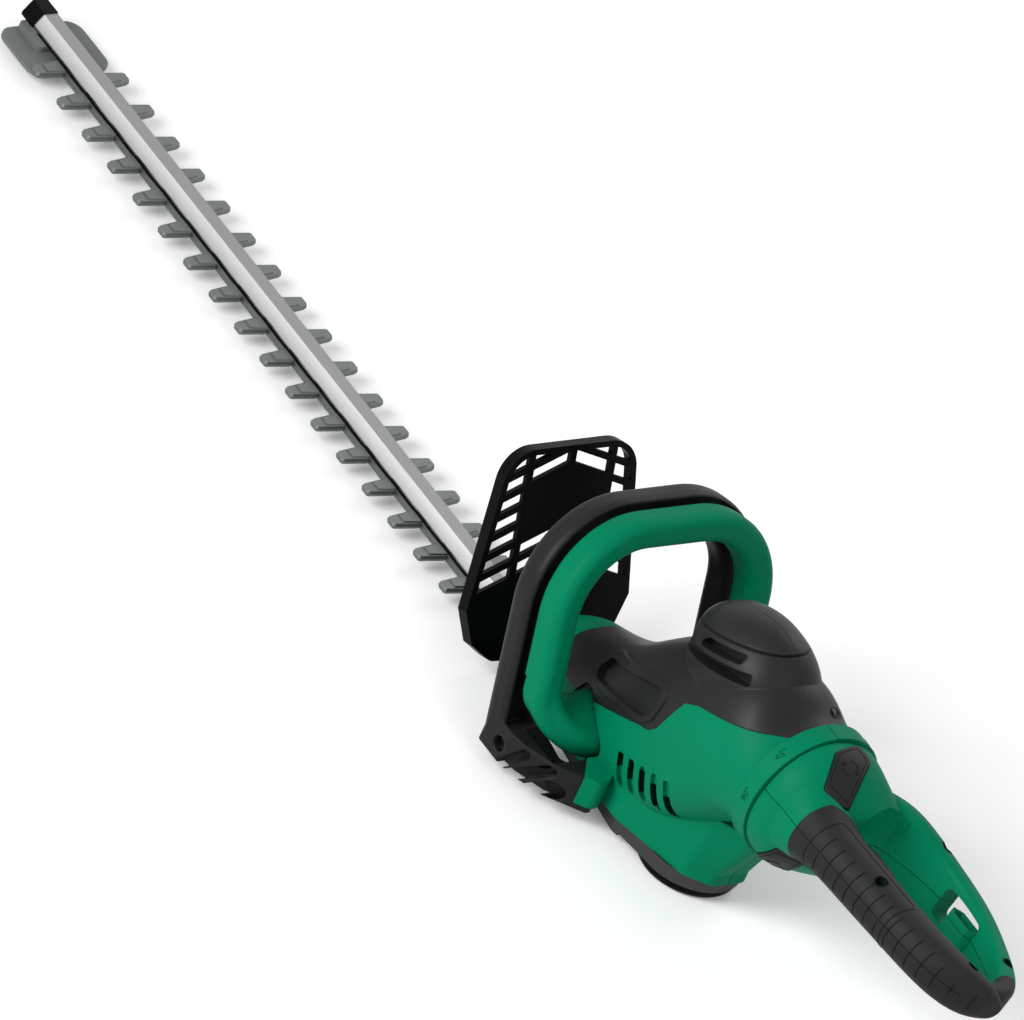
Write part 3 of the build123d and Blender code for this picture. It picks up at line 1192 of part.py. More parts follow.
# Lead inlet: a hollow sleeve that stands in the window of the guard band
with BuildPart() as lead_inlet:
    add(inlet_prism(0, INLET_LOW, INLET_HIGH))
    add(inlet_prism(-INLET_WALL, INLET_LOW + INLET_FLOOR, INLET_HIGH), mode=Mode.SUBTRACT)
save(lead_inlet, "lead_inlet")

# Whole handle before it is parted, with the window in its guard band
with BuildPart() as handle_form:
    add(handle_loft(CONE_STATIONS, 0))
    add(handle_side(LOOP_SIDE, 7, 70), mode=Mode.SUBTRACT)
    add(band_form.part)
    add(grip_outer)
    add(skin_region, mode=Mode.SUBTRACT)
    add(grip_core)
    with BuildSketch(cross_plane(SWIVEL_X - HANDLE_GAP - 2, SWIVEL_Z)):
        Circle(SOCKET_R - SPIGOT_CLEARANCE)
    extrude(amount=SPIGOT_LONG + HANDLE_GAP + 2)
    add(handle_hollows.part, mode=Mode.SUBTRACT)
    with BuildSketch(Plane(origin=handle_place(WINDOW_X, WINDOW_RHO, 0), x_dir=(1, 0, 0), z_dir=GRIPWARD)):
        RectangleRounded(WINDOW_LONG, WINDOW_WIDE, 5)
    extrude(amount=24, both=True, mode=Mode.SUBTRACT)
    add(inlet_prism(SEAT_FIT, INLET_LOW - SEAT_FIT, INLET_HIGH), mode=Mode.SUBTRACT)

with BuildPart() as grip_form:
    add(skin_form.part)
    add(handle_hollows.part, mode=Mode.SUBTRACT)

for side, keep in (("upper", Keep.TOP), ("lower", Keep.BOTTOM)):
    with BuildPart() as handle_half:
        add(handle_form.part)
        split(bisect_by=handle_plane, keep=keep)
    save(handle_half, "rear_handle_" + side)
    with BuildPart() as grip_skin:
        add(grip_form.part)
        split(bisect_by=handle_plane, keep=keep)
    save(grip_skin, "grip_skin_" + side)
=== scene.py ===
import json
import math

import bmesh
import bpy
from mathutils import Matrix, Vector


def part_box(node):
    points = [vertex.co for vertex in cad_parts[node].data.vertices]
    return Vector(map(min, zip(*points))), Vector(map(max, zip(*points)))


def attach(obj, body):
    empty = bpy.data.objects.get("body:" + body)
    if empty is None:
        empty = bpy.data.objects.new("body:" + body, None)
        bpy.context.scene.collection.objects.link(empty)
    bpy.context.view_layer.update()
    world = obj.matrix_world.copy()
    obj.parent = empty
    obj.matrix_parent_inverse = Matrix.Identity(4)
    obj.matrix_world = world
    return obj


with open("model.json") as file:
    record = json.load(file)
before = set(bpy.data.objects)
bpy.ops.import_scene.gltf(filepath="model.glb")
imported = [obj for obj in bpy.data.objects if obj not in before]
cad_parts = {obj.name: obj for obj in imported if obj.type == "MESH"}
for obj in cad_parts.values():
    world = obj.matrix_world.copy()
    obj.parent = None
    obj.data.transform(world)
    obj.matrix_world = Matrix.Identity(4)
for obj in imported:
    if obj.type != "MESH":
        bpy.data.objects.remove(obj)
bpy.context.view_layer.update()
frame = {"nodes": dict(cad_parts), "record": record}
nodes = frame["nodes"]

BLACK = (0.0, 0.0, 0.0, 1.0)
WHITE = (1.0, 1.0, 1.0, 1.0)


class Wire:
    """Socket of a finish; arithmetic on it adds Math nodes."""

    def __init__(self, finish, socket):
        self.finish = finish
        self.socket = socket

    def math(self, operation, first, second=0.0):
        return self.finish.node("Math", {"operation": operation}, {0: first, 1: second})

    def __add__(self, other):
        return self.math("ADD", self, other)

    def __radd__(self, other):
        return self.math("ADD", other, self)

    def __sub__(self, other):
        return self.math("SUBTRACT", self, other)

    def __rsub__(self, other):
        return self.math("SUBTRACT", other, self)

    def __mul__(self, other):
        return self.math("MULTIPLY", self, other)

    def __truediv__(self, other):
        return self.math("DIVIDE", self, other)

    def __gt__(self, other):
        return self.math("GREATER_THAN", self, other)

    def __lt__(self, other):
        return self.math("LESS_THAN", self, other)

    def abs(self):
        return self.math("ABSOLUTE", self)

    def power(self, other):
        return self.math("POWER", self, other)

    def fract(self):
        return self.math("FRACT", self)

    def most(self, other):
        return self.math("MAXIMUM", self, other)

    def clamp(self):
        return self.finish.node("Clamp", {}, {"Value": self})


class Finish:
    """One procedural material, with its Principled shader."""

    def __init__(self, name, **constants):
        self.material = bpy.data.materials.new(name)
        self.material.use_nodes = True
        self.tree = self.material.node_tree
        self.shader = self.tree.nodes["Principled BSDF"]
        self.set(**constants)

    def feed(self, node, socket, value):
        """Set a socket, or link it to a wire."""
        if isinstance(value, Wire):
            self.tree.links.new(value.socket, node.inputs[socket])
        else:
            node.inputs[socket].default_value = value

    def set(self, **values):
        """Set or link sockets of the shader, named with _ for a space."""
        for socket, value in values.items():
            self.feed(self.shader, socket.replace("_", " "), value)

    def node(self, kind, settings, sockets, output=0):
        """Add a node with its settings and sockets and return one of its outputs."""
        made = self.tree.nodes.new("ShaderNode" + kind)
        for name, value in settings.items():
            setattr(made, name, value)
        for name, value in sockets.items():
            self.feed(made, name, value)
        return Wire(self, made.outputs[output])

    def place(self):
        """Position on the piece, in metres."""
        return self.node("TexCoord", {}, {}, "Object")

    def parts(self, vector):
        """The three numbers of a position."""
        made = self.tree.nodes.new("ShaderNodeSeparateXYZ")
        self.feed(made, 0, vector)
        return [Wire(self, made.outputs[i]) for i in range(3)]

    def noise(self, scale, detail, vector=None):
        """Soft random pattern, about one blot in 1/scale metres."""
        sockets = {"Vector": vector or self.place(), "Scale": scale, "Detail": detail}
        return self.node("TexNoise", {}, sockets)

    def streaks(self, along, across):
        """Fine pattern drawn out along X, given in blots per metre."""
        drawn = {"Vector": self.place(), "Scale": (along, across, across)}
        return self.noise(scale=1.0, detail=4.0, vector=self.node("Mapping", {}, drawn))

    def mix(self, amount, first, second):
        """Colour between two colours."""
        return self.node("Mix", {"data_type": "RGBA"}, {"Factor": amount, 6: first, 7: second}, 2)

    def rounded(self, radius):
        """Normal as if the edges were rounded by a small radius."""
        return self.node("Bevel", {"samples": 6}, {"Radius": radius})

    def bump(self, height, distance, strength, normal):
        """Surface relief on top of a normal."""
        self.set(Normal=self.node("Bump", {}, {
            "Height": height, "Distance": distance, "Strength": strength, "Normal": normal}))


def shade(colour, factor):
    """A colour made lighter or darker."""
    return tuple(min(1.0, c * factor) for c in colour[:3]) + (1.0,)


def grey(level):
    """A grey of a given level."""
    return (level, level, level, 1.0)


# Rear handle: its turn on the swivel, the middle of the swivel and the collar round it
TURN = math.radians(72.0)
SWIVEL_X = -0.085
SWIVEL_Z = 0.120
COLLAR_R = 0.0505
HANDLE_TURN = Matrix((
    (1.0, 0.0, 0.0, SWIVEL_X),
    (0.0, math.sin(TURN), -math.cos(TURN), 0.0),
    (0.0, math.cos(TURN), math.sin(TURN), SWIVEL_Z),
    (0.0, 0.0, 0.0, 1.0)))

# Middle line of the grip, in the handle's own frame
GRIP_OFFSET = 0.02903
GRIP_SLOPE = 0.1076


def grip_middle(along):
    """How far to the grip side the middle of the grip lies."""
    return along * GRIP_SLOPE + GRIP_OFFSET


def handle_place(finish):
    """Position in the rear handle's own frame: along it, to the grip side and across."""
    x, y, z = finish.parts(finish.place())
    high = z - SWIVEL_Z
    gripward = y * math.sin(TURN) + high * math.cos(TURN)
    across = high * math.sin(TURN) - y * math.cos(TURN)
    return x - SWIVEL_X, gripward, across


# Sunk lines: depth, widths, and how far their sides run out
GROOVE = 0.0005
PARTING_WIDTH = 0.00028
GRIP_PARTING_WIDTH = 0.0004
LINE_PEAK = 1.6


def band(value, width):
    """Line of a given width round the places where a value is zero, with soft sides."""
    return (LINE_PEAK - value.abs() * (LINE_PEAK / width)).clamp()


def parting_line(finish):
    """Parting line of the two halves, on the middle plane."""
    return band(finish.parts(finish.place())[1], PARTING_WIDTH)


# Air vents in the housing's sides: leaning slots, with painted shade on their deep floors where
# the duct lies behind them
VENT_X = 0.0295
VENT_Z = 0.0495
VENT_LEAN = math.radians(18.0)
VENT_COUNT = 5
VENT_PITCH = 0.0123
VENT_HALF_WIDTH = 0.00312
VENT_HALF_LENGTH = 0.01252
VENT_INNER_Y = 0.03
DUCT_LOW_Z = 0.0500
DUCT_HIGH_Z = 0.0650


def housing_lines_and_shade(finish):
    """Parting line of the housing, and painted shade on the deep floors of its vents."""
    x, y, z = finish.parts(finish.place())
    across = (x - VENT_X) * math.cos(VENT_LEAN) - (z - VENT_Z) * math.sin(VENT_LEAN)
    along = (x - VENT_X) * math.sin(VENT_LEAN) + (z - VENT_Z) * math.cos(VENT_LEAN)
    slot = ((across / VENT_PITCH + 0.5).fract() - 0.5).abs() < VENT_HALF_WIDTH / VENT_PITCH
    row = (across < 0.5 * VENT_PITCH) * (across > (0.5 - VENT_COUNT) * VENT_PITCH)
    # Painted shade: mask of the deep vent floors in front of the duct
    floor = slot * row * (along.abs() < VENT_HALF_LENGTH) * (y.abs() > VENT_INNER_Y)
    floor = floor * (z > DUCT_LOW_Z) * (z < DUCT_HIGH_Z)
    return parting_line(finish).most(floor)


# Screws of the rear handle, along it and to the grip side, in its own frame
HANDLE_SCREWS = [(-0.104, 0.028), (-0.181, -0.001), (-0.063, -0.064), (-0.165, -0.053)]
SCREW_HOLE_R = 0.0052


def screw_hole_shade(along, gripward):
    """Painted shade on the walls of the deep screw holes of the rear handle."""
    dark = None
    for first, second in HANDLE_SCREWS:
        away = (along - first).power(2.0) + (gripward - second).power(2.0)
        hole = away < SCREW_HOLE_R ** 2
        dark = hole if dark is None else dark.most(hole)
    return dark


def handle_lines_and_shade(finish):
    """Parting line of the two handle halves, and painted shade in their screw holes."""
    along, gripward, across = handle_place(finish)
    return band(across, PARTING_WIDTH).most(screw_hole_shade(along, gripward))


def grip_lines_and_shade(finish):
    """Parting line on the outer side of the soft grip, and painted shade in its screw holes."""
    along, gripward, across = handle_place(finish)
    outer = gripward > grip_middle(along)
    return (band(across, GRIP_PARTING_WIDTH) * outer).most(screw_hole_shade(along, gripward))


def moulded(name, colour, rough, grain, relief, edge, lines_and_shade, shine):
    """Moulded plastic: spark-eroded grain, faint clouds, painted highlight on rounded edges, and
    sunk lines with painted shade.
    """
    finish = Finish(name, Specular_IOR_Level=shine)
    fine = finish.noise(grain, detail=3.0)
    cloud = finish.noise(scale=16.0, detail=3.0)
    rounded = finish.rounded(edge)
    flat = finish.node("NewGeometry", {}, {}, "Normal")
    facing = finish.node(
        "VectorMath", {"operation": "DOT_PRODUCT"}, {0: rounded, 1: flat}, "Value")
    # Painted highlight: rounded edges made paler, broken up by noise
    edge_highlight = ((1.0 - facing) * 3.0).clamp() * finish.noise(scale=220.0, detail=2.0)
    tone = finish.mix(cloud, shade(colour, 0.93), shade(colour, 1.07))
    tone = finish.mix(edge_highlight * 0.30, tone, shade(colour, 1.9))
    height = fine * (relief / GROOVE)
    if lines_and_shade:
        # Parting lines, and painted shade in vent floors and screw holes
        sunk_and_shaded = lines_and_shade(finish)
        tone = finish.mix(sunk_and_shaded * 0.95, tone, shade(colour, 0.05))
        height = height - sunk_and_shaded
    finish.set(Base_Color=tone, Roughness=rough + (cloud - 0.5) * 0.12 + (fine - 0.5) * 0.10)
    finish.bump(height, GROOVE, 0.7, rounded)
    return finish.material


STREAK_DEPTH = 0.00002


def ground_steel(name, colour, rough, edge):
    """Steel ground along the blade, with fine streaks and faint stains."""
    finish = Finish(name, Metallic=1.0)
    streak = finish.streaks(along=60.0, across=2600.0)
    stain = finish.noise(scale=30.0, detail=3.0)
    speck = finish.noise(scale=420.0, detail=2.0)
    patchy = stain * 0.6 + speck * 0.4
    finish.set(Base_Color=finish.mix(patchy, shade(colour, 0.86), shade(colour, 1.12)))
    finish.set(Roughness=rough + (streak - 0.5) * 0.25 + (stain - 0.5) * 0.10)
    finish.bump(streak, STREAK_DEPTH, 0.5, finish.rounded(edge))
    return finish.material


METAL_EDGE = 0.0003
# Painted light and shade of the rail: sides from dark low to bright high, a darker grey top
RAIL_SIDE_SHADE = grey(0.20)
RAIL_SIDE_LIT = (0.72, 0.715, 0.71, 1.0)
RAIL_TOP_SHADE = (0.300, 0.295, 0.296, 1.0)
RAIL_STAIN = grey(0.34)
RAIL_TOP_DEPTH = 0.0002


def rail_metal(name, low, high):
    """Drawn rail: satin flat on top with painted shade, sides with painted light brighter towards
    the top, fine streaks along it.
    """
    finish = Finish(name, Metallic=1.0)
    streak = finish.streaks(along=40.0, across=2600.0)
    stain = finish.noise(scale=30.0, detail=3.0)
    z = finish.parts(finish.place())[2]
    # Painted light: sides lighter by height, top flat painted darker
    rise = ((z - low) / (high - low)).clamp()
    painted_sides = finish.mix(rise.power(0.6), RAIL_SIDE_SHADE, RAIL_SIDE_LIT)
    tone = finish.mix(z > high - RAIL_TOP_DEPTH, painted_sides, RAIL_TOP_SHADE)
    finish.set(Base_Color=finish.mix(stain * 0.25, tone, RAIL_STAIN))
    finish.set(Roughness=0.30 + (streak - 0.5) * 0.25 + (stain - 0.5) * 0.10)
    finish.bump(streak, STREAK_DEPTH, 0.5, finish.rounded(METAL_EDGE))
    return finish.material


def plain_metal(name, colour, rough, grain):
    """Turned, cast or blackened metal."""
    finish = Finish(name, Metallic=1.0)
    fine = finish.noise(grain, detail=3.0)
    finish.set(Base_Color=finish.mix(fine, shade(colour, 0.88), shade(colour, 1.10)))
    finish.set(Roughness=rough + (fine - 0.5) * 0.2)
    finish.bump(fine, 0.00003, 0.4, finish.rounded(METAL_EDGE))
    return finish.material


GREEN = (0.0, 0.172, 0.082)
CHARCOAL = (0.0110, 0.0113, 0.0116)

# Colour, roughness, grains in a metre, grain height, edge radius, drawn lines and painted shade,
# shine
MOULDED = {
    "housing_green": (GREEN, 0.46, 2600.0, 0.00002, 0.0008, housing_lines_and_shade, 0.04),
    "bow_green": (GREEN, 0.48, 2600.0, 0.00002, 0.0008, None, 0.04),
    "handle_green": (GREEN, 0.46, 2600.0, 0.00002, 0.0008, handle_lines_and_shade, 0.04),
    "cover_black": (CHARCOAL, 0.42, 1900.0, 0.00005, 0.0014, parting_line, 0.16),
    "guard_black": ((0.0012, 0.0012, 0.0013), 0.34, 2400.0, 0.00002, 0.0006, None, 0.06),
    "bail_black": ((0.0085, 0.0087, 0.0090), 0.44, 1700.0, 0.00005, 0.0030, None, 0.16),
    "grip_rubber": ((0.0130, 0.0134, 0.0137), 0.58, 1400.0, 0.00007, 0.0006, grip_lines_and_shade, 0.14),
    "rib_rubber": ((0.0045, 0.0046, 0.0048), 0.60, 1400.0, 0.00004, 0.0001, None, 0.10),
    "button_black": (CHARCOAL, 0.5, 1900.0, 0.00004, 0.0006, None, 0.14),
    "tip_grey": ((0.13, 0.145, 0.143), 0.45, 2000.0, 0.00002, 0.0005, None, 0.3),
    "pale_plastic": ((0.28, 0.27, 0.25), 0.5, 1500.0, 0.00003, 0.0003, None, 0.3),
    # Darker green for the angle marks: painted shade
    "mark_green_shaded": (shade(GREEN, 0.45), 0.5, 2600.0, 0.00002, 0.0001, None, 0.04),
    # Near-black for painted shade in gaps, pits and under the rail
    "painted_shade_black": ((0.0012, 0.0012, 0.0012), 0.85, 900.0, 0.00002, 0.0002, None, 0.05),
}
# Colour, roughness, edge radius
GROUND = {
    "tooth_steel": ((0.170, 0.186, 0.182), 0.42, 0.0003),
    # Darker copy of the tooth steel for the bevels: painted shade
    "bevel_steel_shaded": ((0.105, 0.116, 0.113), 0.36, 0.0001),
}
# Colour, roughness, grains in a metre
METAL = {
    "cast_alloy": ((0.070, 0.070, 0.072), 0.55, 700.0),
    "dark_steel": ((0.05, 0.05, 0.053), 0.42, 900.0),
    "bright_steel": ((0.55, 0.56, 0.57), 0.28, 900.0),
    "sheet_iron": ((0.20, 0.20, 0.21), 0.5, 900.0),
    "copper_wire": ((0.60, 0.24, 0.10), 0.35, 900.0),
}
LOOKS = {name: moulded(name, *values) for name, values in MOULDED.items()}
LOOKS.update({name: ground_steel(name, *values) for name, values in GROUND.items()})
LOOKS["rail_alloy_painted_light"] = rail_metal("rail_alloy_painted_light", *[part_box("blade_rail")[i][2] for i in (0, 1)])
LOOKS.update({name: plain_metal(name, *values) for name, values in METAL.items()})

# Look of each material slot, and of the nodes that differ from their slot
DRESS = {
    "green_shell": "housing_green", "black_cover": "cover_black", "dark_frame": "bail_black",
    "soft_grip": "grip_rubber", "blade_steel": "tooth_steel", "rail_metal": "rail_alloy_painted_light",
    "tip_plastic": "tip_grey", "gear_metal": "cast_alloy", "dark_screw": "dark_steel",
    "shaft_steel": "bright_steel", "core_iron": "sheet_iron", "winding_copper": "copper_wire",
    "carbon": "dark_steel", "inner_plastic": "pale_plastic",
}
OWN_DRESS = {
    "hand_guard": "guard_black", "switch_bow": "bow_green", "rear_handle_upper": "handle_green",
    "rear_handle_lower": "handle_green", "lead_inlet": "handle_green",
    "rail_end_cap": "guard_black", "release_button_upper": "button_black",
    "release_button_lower": "button_black", "bottom_cover": "guard_black",
}
slot_of = {part["node"]: part["material_slot"] for part in frame["record"]["subparts"]}
for name, piece in nodes.items():
    piece.data.materials.clear()
    piece.data.materials.append(LOOKS[OWN_DRESS.get(name) or DRESS[slot_of[name]]])


def finished(name, build, looks, body):
    """Turn a bmesh into a piece that rides on a body; its looks go by the faces' numbers."""
    bmesh.ops.recalc_face_normals(build, faces=build.faces)
    mesh = bpy.data.meshes.new(name)
    build.to_mesh(mesh)
    build.free()
    for look in looks:
        mesh.materials.append(LOOKS[look])
    piece = bpy.data.objects.new(name, mesh)
    bpy.context.scene.collection.objects.link(piece)
    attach(piece, body)


WELD = 1e-6


def curve_mesh(curve):
    """Mesh of a curve or text, which is then removed."""
    holder = bpy.data.objects.new(curve.name, curve)
    mesh = bpy.data.meshes.new_from_object(holder)
    bpy.data.objects.remove(holder)
    bpy.data.curves.remove(curve)
    return mesh


def add_mesh(build, mesh):
    """Add a mesh to a bmesh and remove it."""
    build.from_mesh(mesh)
    bpy.data.meshes.remove(mesh)


# Raised ground faces on the teeth of the upper blade, with bevelled sides in a darker copy of the
# steel as painted shade
TOOTH_PITCH = 0.032
FIRST_TOOTH_X = 0.7595
TEETH = 17
BLADE_TOP_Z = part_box("upper_blade")[1].z
FACE_ROOT_Y = 0.0118
FACE_TIP_Y = 0.0262
FACE_ROOT_HALF = 0.0060
FACE_TIP_HALF = 0.0040
FACE_RISE = 0.0009
FACE_BEVEL = 0.0008
FACE_TIP_BEVEL = 0.0012
LEVEL = 0.99
tooth_faces = bmesh.new()
for side in (1.0, -1.0):
    for i in range(TEETH):
        middle = FIRST_TOOTH_X - TOOTH_PITCH * (i + (0.0 if side > 0 else 0.5))
        made = bmesh.ops.create_cube(tooth_faces, size=2.0)
        for vert in made["verts"]:
            outer, upper = vert.co.y > 0, vert.co.z > 0
            half = FACE_TIP_HALF if outer else FACE_ROOT_HALF
            reach = FACE_TIP_Y if outer else FACE_ROOT_Y
            if upper:
                half -= FACE_BEVEL
                reach -= FACE_TIP_BEVEL if outer else 0.0
            rise = FACE_RISE if upper else 0.0
            vert.co = (middle + vert.co.x * half, side * reach, BLADE_TOP_Z + rise)
tooth_faces.normal_update()
for face in tooth_faces.faces:
    face.material_index = 0 if abs(face.normal.z) > LEVEL else 1
finished("tooth_faces", tooth_faces, ["tooth_steel", "bevel_steel_shaded"], "upper_blade")

# Near-black strips along the foot of the rail, just clear of the blade: painted shade in the gap
# under the rail
SHADE_STRIP_X = 0.447
SHADE_STRIP_Y = 0.01025
SHADE_STRIP_LIFT = 0.00045
SHADE_STRIP_SIZE = (0.690, 0.0008, 0.0007)
SHADE_STRIP_BEVEL = 0.00015
shade_strips = bmesh.new()
for side in (1.0, -1.0):
    spot = Matrix.Translation((SHADE_STRIP_X, side * SHADE_STRIP_Y, BLADE_TOP_Z + SHADE_STRIP_LIFT))
    bmesh.ops.create_cube(shade_strips, size=1.0, matrix=spot @ Matrix.Diagonal((*SHADE_STRIP_SIZE, 1.0)))
bmesh.ops.bevel(shade_strips, geom=shade_strips.edges[:], offset=SHADE_STRIP_BEVEL, segments=2, profile=0.5,
                affect="EDGES", material=-1)
finished("rail_shade_strips", shade_strips, ["painted_shade_black"], "housing")


def surface_point(targets, start, heading):
    """Nearest point of some CAD nodes on a ray given in the handle's own frame, or None."""
    start = HANDLE_TURN @ Vector(start)
    heading = (HANDLE_TURN.to_3x3() @ Vector(heading)).normalized()
    best = None
    for target in targets:
        hit, point, _, _ = nodes[target].ray_cast(start, heading)
        if hit and (best is None or (point - start).length < (best - start).length):
            best = point
    return best


def beads(name, paths, radius, body):
    """Round beads along paths of points, each closed at its ends or joined into a loop."""
    build = bmesh.new()
    for points, closed in paths:
        points = [point for point in points if point is not None]
        curve = bpy.data.curves.new("bead", "CURVE")
        curve.dimensions = "3D"
        curve.bevel_depth = radius
        curve.bevel_resolution = 2
        curve.use_fill_caps = True
        spline = curve.splines.new("POLY")
        spline.points.add(len(points) - 1)
        for point, co in zip(spline.points, points):
            point.co = (*co, 1.0)
        spline.use_cyclic_u = closed
        add_mesh(build, curve_mesh(curve))
    bmesh.ops.remove_doubles(build, verts=build.verts, dist=WELD)
    finished(name, build, ["rib_rubber"], body)


def between(first, last, steps):
    """Values that part a stretch into equal steps, both ends included."""
    return [first + (last - first) * k / steps for k in range(steps + 1)]


# Ribs across the soft grip
SKINS = ("grip_skin_upper", "grip_skin_lower")
GRIP_RAY = 0.06
RIB_PITCH = 0.0105
RIB_FIRST = -0.0620
RIB_COUNT = 14
RIB_ANGLE = 40.0
RIB_STEPS = 16
RIB_R = 0.00045


def grip_point(along, angle):
    """Point of the grip's surface at a place along it and an angle round it, in degrees."""
    turn = math.radians(angle)
    out = (0.0, math.cos(turn), math.sin(turn))
    middle = (along, grip_middle(along), 0.0)
    start = [m + GRIP_RAY * o for m, o in zip(middle, out)]
    return surface_point(SKINS, start, [-o for o in out])


ribs = []
for i in range(RIB_COUNT):
    along = RIB_FIRST - RIB_PITCH * i
    angles = between(-RIB_ANGLE, RIB_ANGLE, RIB_STEPS)
    ribs.append(([grip_point(along, angle) for angle in angles], False))
beads("grip_ribs", ribs, RIB_R, "rear_handle")

# Outline of the grip's front pad
PAD_FRONT = -0.052
PAD_BACK = -0.131
PAD_ANGLE = 84.0
PAD_END_STEPS = 24
PAD_SIDE_STEPS = 16
PAD_EDGE_R = 0.00040
round_pad = between(-PAD_ANGLE, PAD_ANGLE, PAD_END_STEPS)[1:-1]
along_pad = between(PAD_FRONT, PAD_BACK, PAD_SIDE_STEPS)[1:-1]
pad = [(PAD_FRONT, angle) for angle in round_pad]
pad += [(along, PAD_ANGLE) for along in along_pad]
pad += [(PAD_BACK, angle) for angle in reversed(round_pad)]
pad += [(along, -PAD_ANGLE) for along in reversed(along_pad)]
pad_points = [grip_point(*spot) for spot in pad]
beads("grip_pad_edge", [(pad_points, True)], PAD_EDGE_R, "rear_handle")

# Rim and turning arrows on each five-sided release button; its corners are in millimetres
BUTTON_X = -0.022
BUTTON_ANGLE = math.radians(68.0)
BUTTON_RAY = 0.07
BUTTON_CORNERS = [(18.0, 19.3), (6.5, 22.8), (-20.5, -8.9), (-6.0, -21.3), (12.5, -4.2)]
MM_IN_METRE = 1000.0
RIM_INSET = 0.80
RIM_STEPS = 8
ARROW_X = 0.001
ARROW_Y = 0.0015
ARROW_HALF = (0.0045, 0.0058)
ARROW_STARTS = (20.0, 200.0)
ARROW_SWEEP = 130.0
ARROW_STEPS = 12
BARB = ((0.0029, 0.5), (0.0045, 0.0), (0.0061, 0.42))
BARB_STRETCH = 1.29
MARK_R = 0.00032


def button_point(side, first, second):
    """Point of a button's face, from its own flat frame, in metres."""
    out = (0.0, math.cos(BUTTON_ANGLE), side * math.sin(BUTTON_ANGLE))
    across = (0.0, -math.sin(BUTTON_ANGLE), side * math.cos(BUTTON_ANGLE))
    start = [BUTTON_RAY * o + second * c for o, c in zip(out, across)]
    start[0] += BUTTON_X + first
    button = "release_button_upper" if side > 0 else "release_button_lower"
    return surface_point((button,), start, [-o for o in out])


def arrow_point(side, half_x, half_y, turn):
    """Point of an arrow, at an angle round the middle of the button."""
    return button_point(
        side, ARROW_X + half_x * math.cos(turn), ARROW_Y + half_y * math.sin(turn))


middle = [sum(values) / len(BUTTON_CORNERS) for values in zip(*BUTTON_CORNERS)]
inner = [[(m + RIM_INSET * (c - m)) / MM_IN_METRE for c, m in zip(corner, middle)]
         for corner in BUTTON_CORNERS]
for side, end in ((1.0, "upper"), (-1.0, "lower")):
    rim = []
    for (x0, y0), (x1, y1) in zip(inner, inner[1:] + inner[:1]):
        edge = zip(between(x0, x1, RIM_STEPS), between(y0, y1, RIM_STEPS))
        rim += [button_point(side, *spot) for spot in list(edge)[:-1]]
    marks = [(rim, True)]
    for begin in ARROW_STARTS:
        tip = math.radians(begin + ARROW_SWEEP)
        arc = [math.radians(t) for t in between(begin, begin + ARROW_SWEEP, ARROW_STEPS)]
        marks.append(([arrow_point(side, *ARROW_HALF, turn) for turn in arc], False))
        barb = [arrow_point(side, r, BARB_STRETCH * r, tip - back) for r, back in BARB]
        marks.append((barb, False))
    beads("button_rim_" + end, marks, MARK_R, "release_" + end)

# Near-black floor in the six-sided lead inlet, painted shade in its depth, in the handle's own
# frame
INLET_PLACE = (-0.113, -0.060, -0.0116)
INLET_SIZE = (0.0106, 0.0046, 0.0006)
inlet = bmesh.new()
bmesh.ops.create_cone(
    inlet, cap_ends=True, segments=6, radius1=1.0, radius2=1.0, depth=1.0,
    matrix=HANDLE_TURN @ Matrix.Translation(INLET_PLACE) @ Matrix.Diagonal((*INLET_SIZE, 1.0))
    @ Matrix.Rotation(math.pi / 2, 4, "Z"))
finished("inlet_shade_floor", inlet, ["painted_shade_black"], "rear_handle")

# Near-black ring in the gap of the swivel: painted shade in the gap
GAP_SHADE_RING_X = SWIVEL_X - 0.0004
GAP_SHADE_RING_R = 0.0462
GAP_SHADE_RING_THICK = 0.0003
gap_shade_ring = bmesh.new()
bmesh.ops.create_circle(gap_shade_ring, segments=10, radius=GAP_SHADE_RING_THICK,
                        matrix=Matrix.Translation((GAP_SHADE_RING_X, GAP_SHADE_RING_R, 0.0)))
bmesh.ops.spin(gap_shade_ring, geom=gap_shade_ring.verts[:] + gap_shade_ring.edges[:], cent=(0, 0, 0),
               axis=(1, 0, 0), angle=2 * math.pi, steps=96, use_merge=True)
bmesh.ops.translate(gap_shade_ring, verts=gap_shade_ring.verts, vec=(0.0, 0.0, SWIVEL_Z))
finished("swivel_gap_shade_ring", gap_shade_ring, ["painted_shade_black"], "housing")

# Angle marks on the collar, raised and bent round it, in a darker green as painted shade
LETTER_SIZE = 0.0072
LETTER_RISE = 0.00025
LETTER_X = SWIVEL_X + 0.007
for text, angle in (("90°", 4.0), ("45°", 45.0), ("45°", 135.0), ("90°", 176.0)):
    letters = bpy.data.curves.new("angle_mark", "FONT")
    letters.body = text
    letters.size = LETTER_SIZE
    letters.extrude = LETTER_RISE
    letters.align_x = "CENTER"
    letters.align_y = "CENTER"
    mark = bmesh.new()
    add_mesh(mark, curve_mesh(letters))
    bmesh.ops.remove_doubles(mark, verts=mark.verts, dist=WELD)
    for vert in mark.verts:
        turn = math.radians(angle) + vert.co.x / COLLAR_R
        radius = COLLAR_R + vert.co.z
        vert.co = (LETTER_X + vert.co.y,
                   radius * math.cos(turn), SWIVEL_Z + radius * math.sin(turn))
    finished("angle_mark_%d" % angle, mark, ["mark_green_shaded"], "housing")

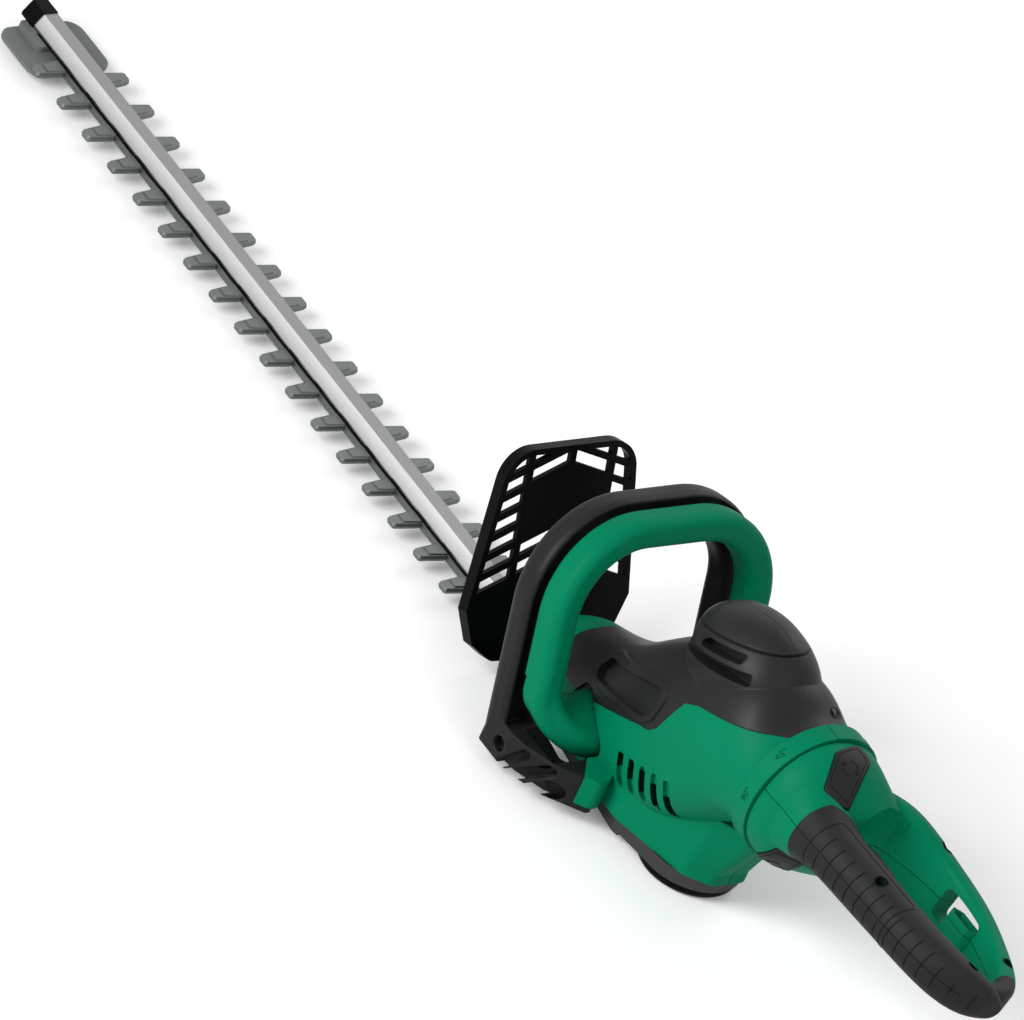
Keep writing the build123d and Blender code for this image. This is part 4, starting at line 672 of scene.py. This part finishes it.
# Studio: pale floor with a glow that only the camera sees, white far out
FLOOR_HALF = 30.0
GLOW_MIDDLE_X = 0.26
GLOW_START = 0.7
GLOW_WIDTH = 0.9
floor_mesh = bpy.data.meshes.new("studio_floor")
build = bmesh.new()
bmesh.ops.create_grid(build, x_segments=1, y_segments=1, size=FLOOR_HALF)
build.to_mesh(floor_mesh)
build.free()
floor = bpy.data.objects.new("studio_floor", floor_mesh)
bpy.context.scene.collection.objects.link(floor)
paper = Finish("floor_paper", Base_Color=grey(0.92), Roughness=0.9, Emission_Strength=1.0)
seen = paper.node("LightPath", {}, {}, "Is Camera Ray")
floor_x, floor_y, _ = paper.parts(paper.place())
away = ((floor_x - GLOW_MIDDLE_X).power(2.0) + floor_y.power(2.0)).power(0.5)
glow = paper.mix(((away - GLOW_START) / GLOW_WIDTH).clamp(), grey(0.16), WHITE)
paper.set(Emission_Color=paper.mix(seen, BLACK, glow))
floor_mesh.materials.append(paper.material)

# White surroundings, dimmer as a light than they look
WORLD_LIGHT = 0.36
WORLD_SEEN = 1.0
world = bpy.data.worlds.new("studio")
bpy.context.scene.world = world
world.use_nodes = True
sky = world.node_tree
back = sky.nodes["Background"]
path = sky.nodes.new("ShaderNodeLightPath")
rays = sky.nodes.new("ShaderNodeMath")
rays.operation = "MAXIMUM"
sky.links.new(path.outputs["Is Camera Ray"], rays.inputs[0])
sky.links.new(path.outputs["Is Glossy Ray"], rays.inputs[1])
level = sky.nodes.new("ShaderNodeMapRange")
level.inputs["To Min"].default_value = WORLD_LIGHT
level.inputs["To Max"].default_value = WORLD_SEEN
sky.links.new(rays.outputs[0], level.inputs["Value"])
sky.links.new(level.outputs[0], back.inputs["Strength"])
back.inputs["Color"].default_value = WHITE


def lamp(name, place, aim, size, power):
    """Square soft lamp that faces a point."""
    data = bpy.data.lights.new(name, "AREA")
    data.size = size
    data.energy = power
    lamp_object = bpy.data.objects.new(name, data)
    lamp_object.location = place
    heading = Vector(aim) - Vector(place)
    lamp_object.rotation_euler = heading.to_track_quat("-Z", "Y").to_euler()
    bpy.context.scene.collection.objects.link(lamp_object)


lamp("key_lamp", (0.4, 2.1, 1.5), (0.1, 0.0, 0.1), size=1.2, power=60.0)
lamp("fill_lamp", (-1.9, 0.2, 1.5), (0.0, 0.0, 0.1), size=1.8, power=12.0)
lamp("rim_lamp", (0.6, -2.0, 1.7), (0.2, 0.0, 0.1), size=1.6, power=16.0)

# Camera: a very long lens on the photograph's line of sight, moved back as the lens grows
RIGHT = Vector((-0.51911, -0.77654, 0.35708))
UP = Vector((0.65501, -0.09306, 0.74987))
BACK = Vector((-0.54907, 0.62316, 0.55695))
CENTRE = Vector((0.1372, 0.1326, 0.1907))
SHIFT_RIGHT = 0.00197
SHIFT_DOWN = 0.00184
LENS_MM = 1650.0
BACK_PER_MM = 0.01822
CLIP_END = 200.0
camera_data = bpy.data.cameras.new("camera")
camera_data.lens = LENS_MM
camera_data.clip_end = CLIP_END
camera = bpy.data.objects.new("camera", camera_data)
place = CENTRE + RIGHT * SHIFT_RIGHT - UP * SHIFT_DOWN + BACK * (BACK_PER_MM * LENS_MM)
camera.matrix_world = Matrix((
    (RIGHT.x, UP.x, BACK.x, place.x),
    (RIGHT.y, UP.y, BACK.y, place.y),
    (RIGHT.z, UP.z, BACK.z, place.z),
    (0.0, 0.0, 0.0, 1.0)))
bpy.context.scene.collection.objects.link(camera)
bpy.context.scene.camera = camera
bpy.context.scene.view_settings.view_transform = "Standard"
